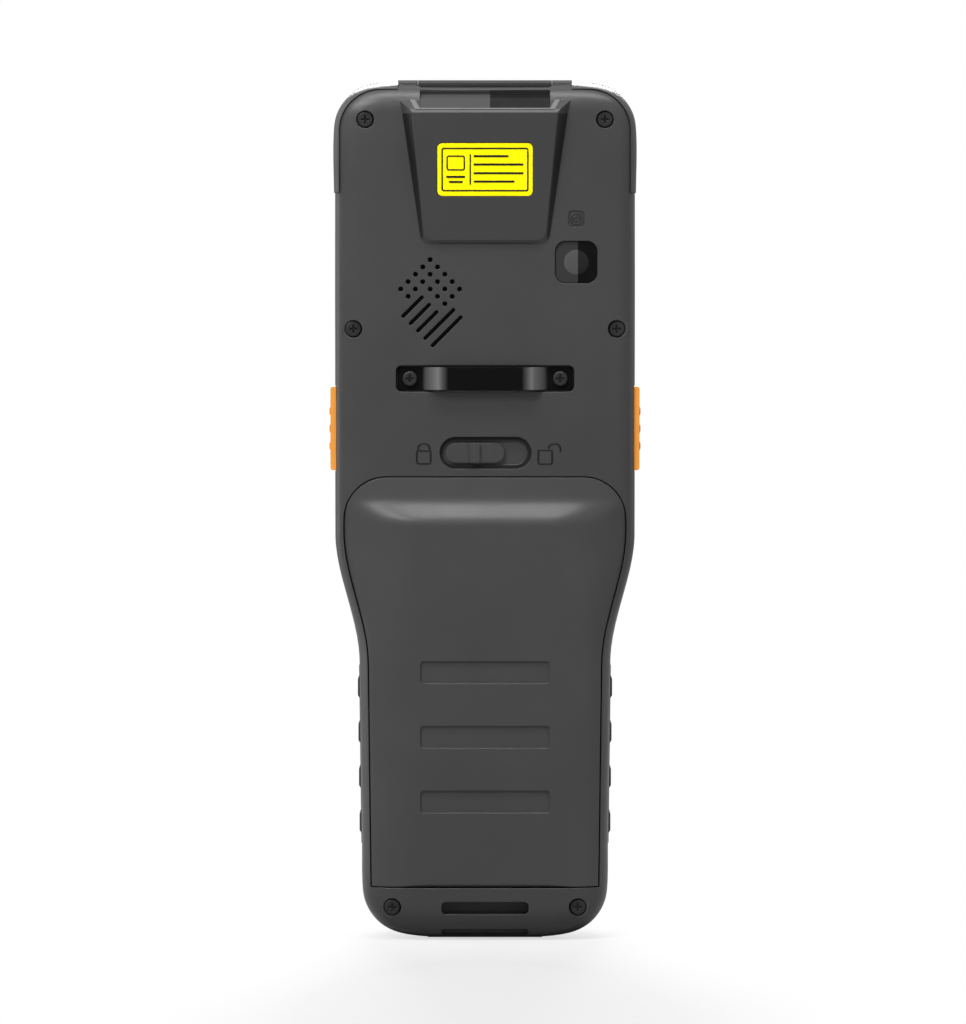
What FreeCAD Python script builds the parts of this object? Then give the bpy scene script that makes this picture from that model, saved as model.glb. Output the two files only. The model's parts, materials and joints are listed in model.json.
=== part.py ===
import FreeCAD, Part
import math
import os
from FreeCAD import Vector

os.makedirs("parts", exist_ok=True)

# Rugged handheld data terminal, standing on its dock foot.
# Millimetres. The back faces -Y, the screen faces +Y, the length runs along +Z.
# Shapes are drawn from the plane where the two housings part, at Y 0, and moved at the end so that the
# origin lies under the middle of the whole terminal.

# Outline seen from the back
BODY_HALF = 35.8
GRIP_HALF = 30.0
GRIP_TAPER = 0.012
BODY_TOP = 204.0
BODY_BOTTOM = 0.3
WAIST_TOP = 97.0
WAIST_BOTTOM = 66.0
HEAD_CORNER_R = 11.0
FOOT_CORNER_R = 12.5
HEAD_EDGE_R = 5.7
FOOT_EDGE_R = 6.0

# Thickness
BODY_DEPTH = 13.0
GRIP_DEPTH = 17.0
FRONT_DEPTH = 9.3
CHIN_DROP = 1.0
BODY_FLAT = BODY_HALF - 13.8
GRIP_FLAT = 14.0

# Walls and clearances
WALL = 2.0
RIM = 4.0
GAP = 0.3
SEAT = 0.05

# Battery door
DOOR_TOP = 110.4
DOOR_BOTTOM = 12.9
DOOR_RIM = 2.35
DOOR_CORNER_R = 10.0
DOOR_SKIRT = 1.5
LEDGE_DEPTH = 9.2
GASKET_THICK = 0.6
BAY_FLOOR = 3.6
FLOOR_THICK = 2.0
SWELL_LEAN = 9.5
SWELL_FLAT = 15.5
PAD_HALF = 15.4
PAD_HEIGHT = 5.3
PAD_DEEP = 0.5
PAD_FIRST = 33.25
PAD_STEP = 15.45
HINGE_INSET = 0.7
HOOK_INNER_R = 2.6
HOOK_OUTER_R = 3.8
HOOK_NEAR = 7.0
HOOK_WIDE = 5.0
HOOK_REACH_DEG = 58.0

# Scan hood and window
HOOD_LOW = 166.0
HOOD_TOP = 205.0
HOOD_LOW_HALF = 15.2
HOOD_TOP_HALF = 20.9
HOOD_FACE_LOW_HALF = 14.3
HOOD_FACE_TOP_HALF = 18.0
HOOD_RISE_LOW = 0.7
HOOD_RISE_TOP = 3.5
HOOD_LIP = 197.4
WINDOW_LOW = (15.7, 198.1)
WINDOW_HIGH = (8.4, 203.2)
WINDOW_HALF = 15.4
WINDOW_THICK = 1.2
CAP_FRONT = 8.5
CAP_BACK = 5.2
ENGINE_POCKET_HALF = 12.0
LABEL_HALF = 11.3
LABEL_LOW = 177.5
LABEL_HIGH = 190.0
LABEL_THICK = 0.3

# Camera and flash
CAMERA_X = BODY_HALF - 14.1
CAMERA_Z = 161.7
CAMERA_SIZE = 10.1
CAMERA_LENS_R = 2.9
CAMERA_RECESS = 1.3
FLASH_Z = 172.0
FLASH_SIZE = 3.8

# Speaker grille
GRILLE_X = -13.05
GRILLE_Z = 162.3
GRILLE_STEP = 1.75
GRILLE_HOLE_R = 0.585
GRILLE_SLOT_HALF = 0.45
MESH_WIDE = 17.6
MESH_HIGH = 22.4
MESH_Z = GRILLE_Z - 9.9
MESH_SUNK = 0.3
MESH_THICK = 0.35

# Hand-strap bar
BAR_Z = 134.0
BAR_RECESS_HALF = 21.25
BAR_RECESS_HEIGHT = 6.3
BAR_RECESS_DEEP = 2.2
BAR_HEIGHT = 5.4
BAR_THICK = 1.4
BAR_HALF = 20.8
BAR_LEG_FOOT = 14.8
BAR_LEG_TOP = 11.2
BAR_RISE = 3.2
BAR_SCREW_X = 17.9

# Latch
LATCH_Z = 116.3
LATCH_RECESS_LOW = -10.8
LATCH_RECESS_HIGH = 11.1
LATCH_RECESS_HEIGHT = 7.6
LATCH_RECESS_DEEP = 0.7
LATCH_TRACK_HIGH = 10.1
LATCH_TRACK_HEIGHT = 5.7
LATCH_TRACK_DEEP = 1.2
LATCH_LOW = -9.35
LATCH_HIGH = 4.6
LATCH_HEIGHT = 4.7
LATCH_THICK = 1.0
LATCH_TRAVEL = 4.8
LATCH_NECK_HALF = 1.0
LATCH_NECK_LOW = -3.9
LATCH_NECK_HIGH = -0.8

# Screws
SCREW_R = 0.95
SCREW_HEAD_R = 1.9
SCREW_HEAD = 1.3
SCREW_SUNK = 0.35
BOSS_R = 2.9
CASE_SCREWS = ((BODY_HALF - 7.3, 195.6), (BODY_HALF - 4.45, 145.8), (22.1, 8.0))
CASE_SCREW_END = 5.0
BOARD_POSTS = ((BODY_HALF - 11.2, 117.0), (BODY_HALF - 10.4, 186.0))

# Scan triggers on the two sides
TRIGGER_LOW = 112.0
TRIGGER_HIGH = 132.0
TRIGGER_PROUD = 1.1
TRIGGER_BUMP = 0.25
TRIGGER_NEAR_Y = -3.4
TRIGGER_FAR_Y = -9.2
TRIGGER_CAP = 1.2
TRIGGER_FLANGE = 1.1
TRIGGER_TRAVEL = 0.8
SWITCH_X = BODY_HALF - RIM - 4.6
SWITCH_HALF = 1.7

# Rubber bumpers and side grips
BUMPER_PROUD = 0.25
BUMPER_THICK = 1.1
BUMPER_LOW = 178.2
BUMPER_INNER_X = BODY_HALF - 15.1
BUMPER_FRONT = 7.0
GRIP_PAD_LOW = 22.6
GRIP_PAD_HIGH = 65.2
GRIP_PAD_THICK = 1.0
GRIP_PAD_PROUD = 0.15
GRIP_PAD_REAR = -7.6
GRIP_PAD_FRONT = 4.0
GRIP_BUMP_PROUD = 0.55
GRIP_BUMP_LONG = 5.7
GRIP_BUMP_FIRST = 27.5
GRIP_BUMP_STEP = 10.8
GRIP_BUMPS = 4

# Strap tunnel in the chin
SLOT_HALF = 10.4
SLOT_UPPER = (6.3, 9.3)
SLOT_LOWER = (1.1, 2.7)
TUNNEL_OUTER = 12.9
TUNNEL_INNER = 10.8

# Front face
GLASS_HALF = BODY_HALF - 5.2
GLASS_LOW = 100.4
GLASS_HIGH = 192.6
GLASS_THICK = 1.1
GLASS_SUNK = 0.2
VIEW_HALF = GLASS_HALF - 3.2
VIEW_LOW = 105.0
VIEW_HIGH = 186.0
EARPIECE_Z = BODY_TOP - 6.4
STATUS_X = 11.0
STATUS_R = 0.95
KEY_FIELD_HALF = 24.6
KEY_FIELD_LOW = 16.0
KEY_FIELD_HIGH = 94.0
KEY_FIELD_DEEP = 1.3
KEY_FACE_THICK = 2.2
KEY_SIDE_GAP = 0.25
KEY_FLANGE = 0.9
KEY_FLANGE_WIDE = 0.8
KEY_REST_GAP = 0.1
KEY_TOP_SUNK = 0.3
KEYPAD_BOARD_Y = 1.8
BOARD_THICK = 1.2
MEMBRANE_THICK = 0.6
MAIN_BOARD_Y = 1.0
MAIN_BOARD_HALF = BODY_HALF - RIM - 1.8
MAIN_BOARD_LOW = 99.0
MAIN_BOARD_HIGH = BODY_TOP - RIM - 3.0
DISPLAY_THICK = 3.6

# Dock foot and connector
FOOT_HALF = 13.7
FOOT_REAR = -8.6
FOOT_FRONT = 7.2
DOCK_HALF = 8.0
DOCK_REAR = 1.6
DOCK_FRONT = 5.4
DOCK_HIGH = 9.0

BATTERY_LOW = 20.5
BATTERY_HIGH = 96.5
BATTERY_HALF = 24.0

KEYS = (
    ("key_left_function", -17.0, 84.5, 11.0, 8.4),
    ("key_scan", 0.0, 84.5, 16.0, 10.4),
    ("key_right_function", 17.0, 84.5, 11.0, 8.4),
    ("key_escape", -17.0, 70.6, 11.0, 8.4),
    ("key_arrow_rocker", 0.0, 70.6, 15.0, 11.0),
    ("key_enter", 17.0, 70.6, 11.0, 8.4),
)
DIGITS = ("1", "2", "3", "4", "5", "6", "7", "8", "9", "star", "0", "hash")
DIGIT_STEP_X = 15.8
DIGIT_STEP_Z = 10.9
DIGIT_TOP_Z = 56.6
DIGIT_WIDE = 12.2
DIGIT_HIGH = 7.4


def smooth(t):
    t = min(1.0, max(0.0, t))
    return t * t * (3.0 - 2.0 * t)


def mix(a, b, share):
    return a + (b - a) * share


def waist(z):
    return smooth((z - WAIST_BOTTOM) / (WAIST_TOP - WAIST_BOTTOM))


def side_half(z):
    grip = GRIP_HALF - GRIP_TAPER * max(0.0, WAIST_BOTTOM - z)
    return mix(grip, BODY_HALF, waist(z))


def back_depth(z):
    drop = CHIN_DROP * max(0.0, (DOOR_BOTTOM - z) / DOOR_BOTTOM) ** 2
    return mix(GRIP_DEPTH, BODY_DEPTH, waist(z)) - drop


def door_depth(z):
    low = DOOR_TOP - 10.9
    if z <= low:
        return GRIP_DEPTH
    t = (z - low) / (DOOR_TOP + 1.0 - low)
    fall = 0.68 * smooth(t / 0.52) + 0.32 * t
    return max(BODY_DEPTH, GRIP_DEPTH - (GRIP_DEPTH - BODY_DEPTH) * min(1.0, fall))


def end_drop(z, inset):
    drop = 0.0
    r = HEAD_EDGE_R - inset
    past = z - (BODY_TOP - HEAD_EDGE_R)
    if past > 0.0:
        drop += r - math.sqrt(max(0.0, r * r - past * past))
    r = FOOT_EDGE_R - inset
    past = BODY_BOTTOM + FOOT_EDGE_R - z
    if past > 0.0:
        drop += r - math.sqrt(max(0.0, r * r - past * past))
    return drop


def stations(inset):
    """Heights and half widths along the body, closer together round the corners."""
    found = []
    foot_z = BODY_BOTTOM + FOOT_CORNER_R
    foot_x = side_half(foot_z) - FOOT_CORNER_R
    r = FOOT_CORNER_R - inset
    for angle in (0, 14, 28, 44, 60, 75, 90):
        turn = math.radians(angle)
        found.append((foot_z - r * math.cos(turn), foot_x + r * math.sin(turn)))
    z = foot_z + 8.0
    while z < WAIST_BOTTOM - 6.0:
        found.append((z, side_half(z) - inset))
        z += 12.0
    for step in range(11):
        z = mix(WAIST_BOTTOM - 2.0, WAIST_TOP + 2.0, step / 10.0)
        found.append((z, side_half(z) - inset))
    head_z = BODY_TOP - HEAD_CORNER_R
    for share in (0.06, 0.16, 0.3, 0.5, 0.7, 0.86):
        z = mix(WAIST_TOP + 2.0, head_z, share)
        found.append((z, side_half(z) - inset))
    r = HEAD_CORNER_R - inset
    for angle in (0, 15, 30, 46, 62, 76, 90):
        turn = math.radians(angle)
        found.append((head_z + r * math.sin(turn), BODY_HALF - HEAD_CORNER_R + r * math.cos(turn)))
    return found


def crown_poles(z, half, depth, base, flat):
    """Four poles of the curve from the side wall to the flat middle of the back."""
    grip = 1.0 - waist(z)
    side = base - mix(5.0, 8.0, grip)
    shoulder = base - mix(1.2, 2.5, grip)
    lean = mix(4.0, 5.0, grip)
    return ((half, side), (half, shoulder), (half - lean, depth), (flat, depth))


def section(z, poles, sign):
    right = [Vector(x, sign * y, z) for x, y in poles]
    left = [Vector(-p.x, p.y, p.z) for p in reversed(right)]
    near = Part.BezierCurve()
    near.setPoles(right)
    far = Part.BezierCurve()
    far.setPoles(left)
    a = Vector(right[0].x, 0, z)
    b = Vector(-right[0].x, 0, z)
    return Part.Wire([
        Part.makeLine(a, right[0]),
        near.toShape(),
        Part.makeLine(right[-1], left[0]),
        far.toShape(),
        Part.makeLine(left[-1], b),
        Part.makeLine(b, a),
    ])


def back_loft(inset=0.0):
    wires = []
    for z, half in stations(inset):
        depth = back_depth(z) - inset - end_drop(z, inset)
        flat = min(mix(GRIP_FLAT, BODY_FLAT, waist(z)), half - 7.0)
        wires.append(section(z, crown_poles(z, half, depth, depth, flat), -1.0))
    return Part.makeLoft(wires, True, False)


def front_loft(inset=0.0):
    wires = []
    for z, half in stations(inset):
        depth = FRONT_DEPTH - inset - 0.55 * end_drop(z, inset)
        poles = ((half, depth - 4.2), (half, depth - 1.0), (half - 2.6, depth), (half - 7.0, depth))
        wires.append(section(z, poles, 1.0))
    return Part.makeLoft(wires, True, False)


def door_loft(inset=0.0):
    """The back as the battery door swells over it."""
    wires = []
    steps = [DOOR_BOTTOM - 3.0, DOOR_BOTTOM + 2.0, 22.0, 34.0, 46.0, 56.0]
    steps += [mix(WAIST_BOTTOM - 2.0, WAIST_TOP, i / 9.0) for i in range(10)]
    steps += [DOOR_TOP - 12.4 + 1.15 * i for i in range(12)]
    steps += [DOOR_TOP + 3.0]
    for z in steps:
        half = side_half(z) - inset
        share = waist(z)
        base = mix(GRIP_DEPTH, BODY_DEPTH, share) - inset
        depth = door_depth(z) - inset
        grip = 1.0 - share
        swell = (depth - base) / (GRIP_DEPTH - BODY_DEPTH)
        lean = mix(4.0, 5.0, grip) + SWELL_LEAN * swell
        flat = mix(mix(GRIP_FLAT, BODY_FLAT, share), SWELL_FLAT, swell)
        poles = (
            (half, base - mix(5.0, 8.0, grip)),
            (half, base - mix(1.2, 2.5, grip)),
            (half - lean, depth),
            (flat, depth),
        )
        wires.append(section(z, poles, -1.0))
    return Part.makeLoft(wires, True, False)


def back_surface(x, z):
    """Depth of the back surface at one place."""
    depth = back_depth(z) - end_drop(z, 0.0)
    half = side_half(z)
    poles = crown_poles(z, half, depth, depth, mix(GRIP_FLAT, BODY_FLAT, waist(z)))
    if abs(x) <= poles[3][0]:
        return depth
    low, high = 0.0, 1.0
    for _ in range(30):
        t = (low + high) / 2.0
        weights = ((1 - t) ** 3, 3 * t * (1 - t) ** 2, 3 * t * t * (1 - t), t ** 3)
        if sum(w * p[0] for w, p in zip(weights, poles)) > abs(x):
            low = t
        else:
            high = t
    return sum(w * p[1] for w, p in zip(weights, poles))


def box(x0, x1, y0, y1, z0, z1):
    return Part.makeBox(x1 - x0, y1 - y0, z1 - z0, Vector(x0, y0, z0))


def cylinder_y(x, z, r, y0, y1):
    return Part.makeCylinder(r, y1 - y0, Vector(x, y0, z), Vector(0, 1, 0))


def cylinder_x(y, z, r, x0, x1):
    return Part.makeCylinder(r, x1 - x0, Vector(x0, y, z), Vector(1, 0, 0))


def rounded_wire(points, radii, place):
    """Closed wire through plane corner points, each corner with its radius."""
    count = len(points)
    cut = []
    for i in range(count):
        p = points[i]
        r = radii[i]
        a = points[i - 1]
        b = points[(i + 1) % count]
        ua = ((a[0] - p[0]), (a[1] - p[1]))
        ub = ((b[0] - p[0]), (b[1] - p[1]))
        la = math.hypot(*ua)
        lb = math.hypot(*ub)
        ua = (ua[0] / la, ua[1] / la)
        ub = (ub[0] / lb, ub[1] / lb)
        if r <= 0.0:
            cut.append((p, None, p))
            continue
        half = math.acos(max(-1.0, min(1.0, ua[0] * ub[0] + ua[1] * ub[1]))) / 2.0
        reach = r / math.tan(half)
        bis = (ua[0] + ub[0], ua[1] + ub[1])
        lbis = math.hypot(*bis)
        far = r / math.sin(half) - r
        mid = (p[0] + bis[0] / lbis * far, p[1] + bis[1] / lbis * far)
        start = (p[0] + ua[0] * reach, p[1] + ua[1] * reach)
        end = (p[0] + ub[0] * reach, p[1] + ub[1] * reach)
        cut.append((start, mid, end))
    edges = []
    for i in range(count):
        start, mid, end = cut[i]
        if mid is not None:
            edges.append(Part.Arc(place(*start), place(*mid), place(*end)).toShape())
        after = cut[(i + 1) % count][0]
        if math.hypot(after[0] - end[0], after[1] - end[1]) > 1e-6:
            edges.append(Part.makeLine(place(*end), place(*after)))
    return Part.Wire(edges)


def plate(cx, cz, wide, high, r, y0, y1):
    """Rounded rectangle in the XZ plane, thick along Y."""
    w = wide / 2.0
    h = high / 2.0
    points = ((cx - w, cz - h), (cx + w, cz - h), (cx + w, cz + h), (cx - w, cz + h))
    wire = rounded_wire(points, (r, r, r, r), lambda x, z: Vector(x, y0, z))
    return Part.Face(wire).extrude(Vector(0, y1 - y0, 0))


def prism_y(points, radii, y0, y1):
    wire = rounded_wire(points, radii, lambda x, z: Vector(x, y0, z))
    return Part.Face(wire).extrude(Vector(0, y1 - y0, 0))


def prism_x(points, radii, x0, x1):
    wire = rounded_wire(points, radii, lambda y, z: Vector(x0, y, z))
    return Part.Face(wire).extrude(Vector(x1 - x0, 0, 0))


def prism_z(points, radii, z0, z1):
    wire = rounded_wire(points, radii, lambda x, y: Vector(x, y, z0))
    return Part.Face(wire).extrude(Vector(0, 0, z1 - z0))


def side_prism(inset, low, high, corner, y0, y1, foot_corner=0.0):
    """Block that follows the waisted sides at an even distance inside them."""
    stop = high - corner
    begin = low + foot_corner
    count = max(4, int((stop - begin) / 5.0) + 2)
    heights = [mix(begin, stop, i / (count - 1.0)) for i in range(count)]
    right = [Vector(side_half(z) - inset, y0, z) for z in heights]
    left = [Vector(-p.x, p.y, p.z) for p in reversed(right)]
    edges = []
    for points in (right, left):
        curve = Part.BSplineCurve()
        curve.interpolate(points)
        edges.append(curve.toShape())
    top_a = right[-1]
    top_b = left[0]
    if corner > 0.0:
        k = corner * (1.0 - math.sqrt(0.5))
        end_a = Vector(top_a.x - corner, y0, high)
        end_b = Vector(-end_a.x, y0, high)
        edges.append(Part.Arc(top_a, Vector(top_a.x - k, y0, high - k), end_a).toShape())
        edges.append(Part.Arc(end_b, Vector(top_b.x + k, y0, high - k), top_b).toShape())
        top_a = end_a
        top_b = end_b
    edges.append(Part.makeLine(top_a, top_b))
    low_a = right[0]
    low_b = left[-1]
    if foot_corner > 0.0:
        k = foot_corner * (1.0 - math.sqrt(0.5))
        end_a = Vector(low_a.x - foot_corner, y0, low)
        end_b = Vector(-end_a.x, y0, low)
        edges.append(Part.Arc(low_a, Vector(low_a.x - k, y0, low + k), end_a).toShape())
        edges.append(Part.Arc(end_b, Vector(low_b.x + k, y0, low + k), low_b).toShape())
        low_a = end_a
        low_b = end_b
    edges.append(Part.makeLine(low_b, low_a))
    wire = Part.Wire(Part.__sortEdges__(edges))
    return Part.Face(wire).extrude(Vector(0, y1 - y0, 0))


def body_prism(inset, y0, y1):
    """Whole body outline at an inset."""
    return side_prism(
        inset,
        BODY_BOTTOM + inset,
        BODY_TOP - inset,
        HEAD_CORNER_R - inset,
        y0,
        y1,
        FOOT_CORNER_R - inset,
    )


def mirrored(shape):
    return shape.mirror(Vector(0, 0, 0), Vector(1, 0, 0))


def fused(shapes):
    return shapes[0].fuse(list(shapes[1:]))


# Places worked out from the sizes above
HINGE_Y = -(GRIP_DEPTH - HINGE_INSET)
HINGE_Z = DOOR_BOTTOM + HINGE_INSET
HOOD_TILT = math.degrees(math.atan2(HOOD_RISE_TOP - HOOD_RISE_LOW, HOOD_LIP - HOOD_LOW))
WINDOW_RISE = WINDOW_HIGH[1] - WINDOW_LOW[1]
WINDOW_RUN = WINDOW_LOW[0] - WINDOW_HIGH[0]
WINDOW_LONG = math.hypot(WINDOW_RISE, WINDOW_RUN)
WINDOW_TURN = -math.degrees(math.atan2(WINDOW_RUN, WINDOW_RISE))
INNER_BACK = -(BODY_DEPTH - WALL)
KEY_FACE_Y = FRONT_DEPTH - KEY_FIELD_DEEP
KEY_UNDER_Y = KEY_FACE_Y - KEY_FACE_THICK
CAVITY_LOW = DOOR_TOP + GAP + 1.8
UNDER_FLOOR = -(BAY_FLOOR - FLOOR_THICK)
PARTING_Y = (GRIP_DEPTH - FRONT_DEPTH) / 2.0


def on_hood(shape):
    """Turns a shape drawn upright at the hood's lowest face line onto its tilted face."""
    turned = shape.copy()
    turned.rotate(Vector(0, -(BODY_DEPTH + HOOD_RISE_LOW), HOOD_LOW), Vector(1, 0, 0), HOOD_TILT)
    return turned


def on_window(shape):
    """Turns a shape drawn in the XZ plane about the origin onto the window slope."""
    turned = shape.copy()
    turned.rotate(Vector(0, 0, 0), Vector(1, 0, 0), WINDOW_TURN)
    middle_y = -(WINDOW_LOW[0] + WINDOW_HIGH[0]) / 2.0
    middle_z = (WINDOW_LOW[1] + WINDOW_HIGH[1]) / 2.0
    turned.translate(Vector(0, middle_y, middle_z))
    return turned


def hood_block():
    low = (HOOD_LOW_HALF, HOOD_LOW)
    high = (HOOD_TOP_HALF, HOOD_TOP)
    outer = ((-low[0], low[1]), low, high, (-high[0], high[1]))
    face_low = (HOOD_FACE_LOW_HALF, HOOD_LOW + 0.9)
    face_high = (HOOD_FACE_TOP_HALF, HOOD_TOP)
    inner = ((-face_low[0], face_low[1]), face_low, face_high, (-face_high[0], face_high[1]))
    radii = (2.4, 2.4, 0.0, 0.0)
    slope = (HOOD_RISE_TOP - HOOD_RISE_LOW) / (HOOD_LIP - HOOD_LOW)

    def on_base(x, z):
        return Vector(x, -BODY_DEPTH, z)

    def on_face(x, z):
        return Vector(x, -(BODY_DEPTH + HOOD_RISE_LOW + slope * (z - HOOD_LOW)), z)

    base = rounded_wire(outer, radii, on_base)
    face = rounded_wire(inner, radii, on_face)
    root = Part.Face(base).extrude(Vector(0, BODY_DEPTH - CAP_BACK, 0))
    rise = Part.makeLoft([base, face], True, True)
    block = root.fuse(rise)
    lip_y = -(BODY_DEPTH + HOOD_RISE_TOP)
    profile = (
        (0.0, HOOD_LOW - 1.0),
        (lip_y - 1.0, HOOD_LOW - 1.0),
        (lip_y - 1.0, HOOD_LIP - 0.6),
        (-WINDOW_LOW[0] - 0.75, HOOD_LIP - 0.2),
        (-WINDOW_LOW[0], WINDOW_LOW[1]),
        (-WINDOW_HIGH[0], WINDOW_HIGH[1]),
        (-CAP_FRONT, WINDOW_HIGH[1] + 0.05),
        (-CAP_FRONT, HOOD_TOP - 0.6),
        (-CAP_FRONT + 0.6, HOOD_TOP),
        (0.0, HOOD_TOP),
    )
    return block.common(prism_x(profile, [0.0] * 10, -30.0, 30.0))


def bumper_zone():
    """Corner space of the right bumper, outside the housing's inner line."""
    zone = box(BUMPER_INNER_X, BODY_HALF + 5.0, -GRIP_DEPTH, BUMPER_FRONT, BUMPER_LOW, BODY_TOP + 5.0)
    return zone.cut(body_prism(BUMPER_THICK, -GRIP_DEPTH - 1.0, BUMPER_FRONT + 1.0))


def grip_pad(proud):
    """Right rubber side pad; its bumps stand proud by the given height."""
    low = side_half(GRIP_PAD_LOW) + GRIP_PAD_PROUD
    high = side_half(GRIP_PAD_HIGH) + GRIP_PAD_PROUD
    points = (
        (low - GRIP_PAD_THICK - GRIP_PAD_PROUD, GRIP_PAD_LOW),
        (low, GRIP_PAD_LOW),
        (high, GRIP_PAD_HIGH),
        (high - GRIP_PAD_THICK - GRIP_PAD_PROUD, GRIP_PAD_HIGH),
    )
    pad = prism_y(points, [0.0] * 4, GRIP_PAD_REAR, GRIP_PAD_FRONT)
    if proud <= 0.0:
        return pad
    half = GRIP_BUMP_LONG / 2.0
    for i in range(GRIP_BUMPS):
        z = GRIP_BUMP_FIRST + i * GRIP_BUMP_STEP
        x = side_half(z)
        bump = ((x - 0.4, z - half), (x, z - half), (x + proud, z - half + 0.9),
                (x + proud, z + half - 0.9), (x, z + half), (x - 0.4, z + half))
        pad = pad.fuse(prism_y(bump, [0.0] * 6, GRIP_PAD_REAR + 1.2, GRIP_PAD_FRONT - 1.2))
    return pad


def trigger_opening():
    cap = box(BODY_HALF - TRIGGER_CAP - TRIGGER_TRAVEL - GAP, BODY_HALF + 3.0, TRIGGER_FAR_Y - GAP,
              TRIGGER_NEAR_Y + GAP, TRIGGER_LOW - GAP, TRIGGER_HIGH + GAP)
    stem = box(BODY_HALF - RIM - 1.0, BODY_HALF, TRIGGER_FAR_Y + 1.0 - GAP, TRIGGER_NEAR_Y - 1.0 + GAP,
               TRIGGER_LOW + 2.0 - GAP, TRIGGER_HIGH - 2.0 + GAP)
    return cap.fuse(stem)


def grille():
    """Round holes at the top of the grille, slots along its lower rows, in groups row by row."""
    groups = []
    for i in range(5):
        row = []
        for j in range(5):
            if i >= 2 and j >= 4 or i >= 3 and j >= 3 or (i == 2 and j == 3):
                continue
            x = GRILLE_X + (i - j) * GRILLE_STEP
            z = GRILLE_Z - (i + j) * GRILLE_STEP
            row.append(cylinder_y(x, z, GRILLE_HOLE_R, -BODY_DEPTH - 1.0, INNER_BACK + 1.4))
        groups.append(row)
    slots = []
    for i in range(2, 7):
        start = 2.95 if i < 5 else 1.66
        end = 5.85
        ax = GRILLE_X + (i - start) * GRILLE_STEP
        az = GRILLE_Z - (i + start) * GRILLE_STEP
        reach = (end - start) * GRILLE_STEP * math.sqrt(2.0)
        slot = plate(reach / 2.0, 0.0, reach, 2.0 * GRILLE_SLOT_HALF, GRILLE_SLOT_HALF * 0.98,
                     -BODY_DEPTH - 1.0, INNER_BACK + 1.4)
        slot.rotate(Vector(0, 0, 0), Vector(0, 1, 0), 135.0)
        slot.translate(Vector(ax, 0, az))
        slots.append(slot)
    groups.append(slots)
    return groups


def hook(near, wide, spread, reach):
    """Curved hinge hook centred on the hinge line, from the door's skin down under the chin."""
    ring = cylinder_x(HINGE_Y, HINGE_Z, HOOK_OUTER_R + spread, near, near + wide)
    ring = ring.cut(cylinder_x(HINGE_Y, HINGE_Z, HOOK_INNER_R - spread, near - 1.0, near + wide + 1.0))
    far = 2.5 * HOOK_OUTER_R
    turn = math.radians(-reach)
    wedge = ((HINGE_Y, HINGE_Z), (HINGE_Y + far * math.cos(turn), HINGE_Z + far * math.sin(turn)),
             (HINGE_Y + far, HINGE_Z + far), (HINGE_Y, HINGE_Z + far))
    return ring.common(prism_x(wedge, [0.0] * 4, near - 2.0, near + wide + 2.0))


def chin_slot(span):
    """Mouth of the strap tunnel between two heights, with round corners."""
    low, high = span
    corner = min(1.1, (high - low) / 2.0 - 0.05)
    return plate(0.0, (low + high) / 2.0, 2.0 * SLOT_HALF, high - low, corner, -GRIP_DEPTH - 1.0, -TUNNEL_OUTER)


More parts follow.
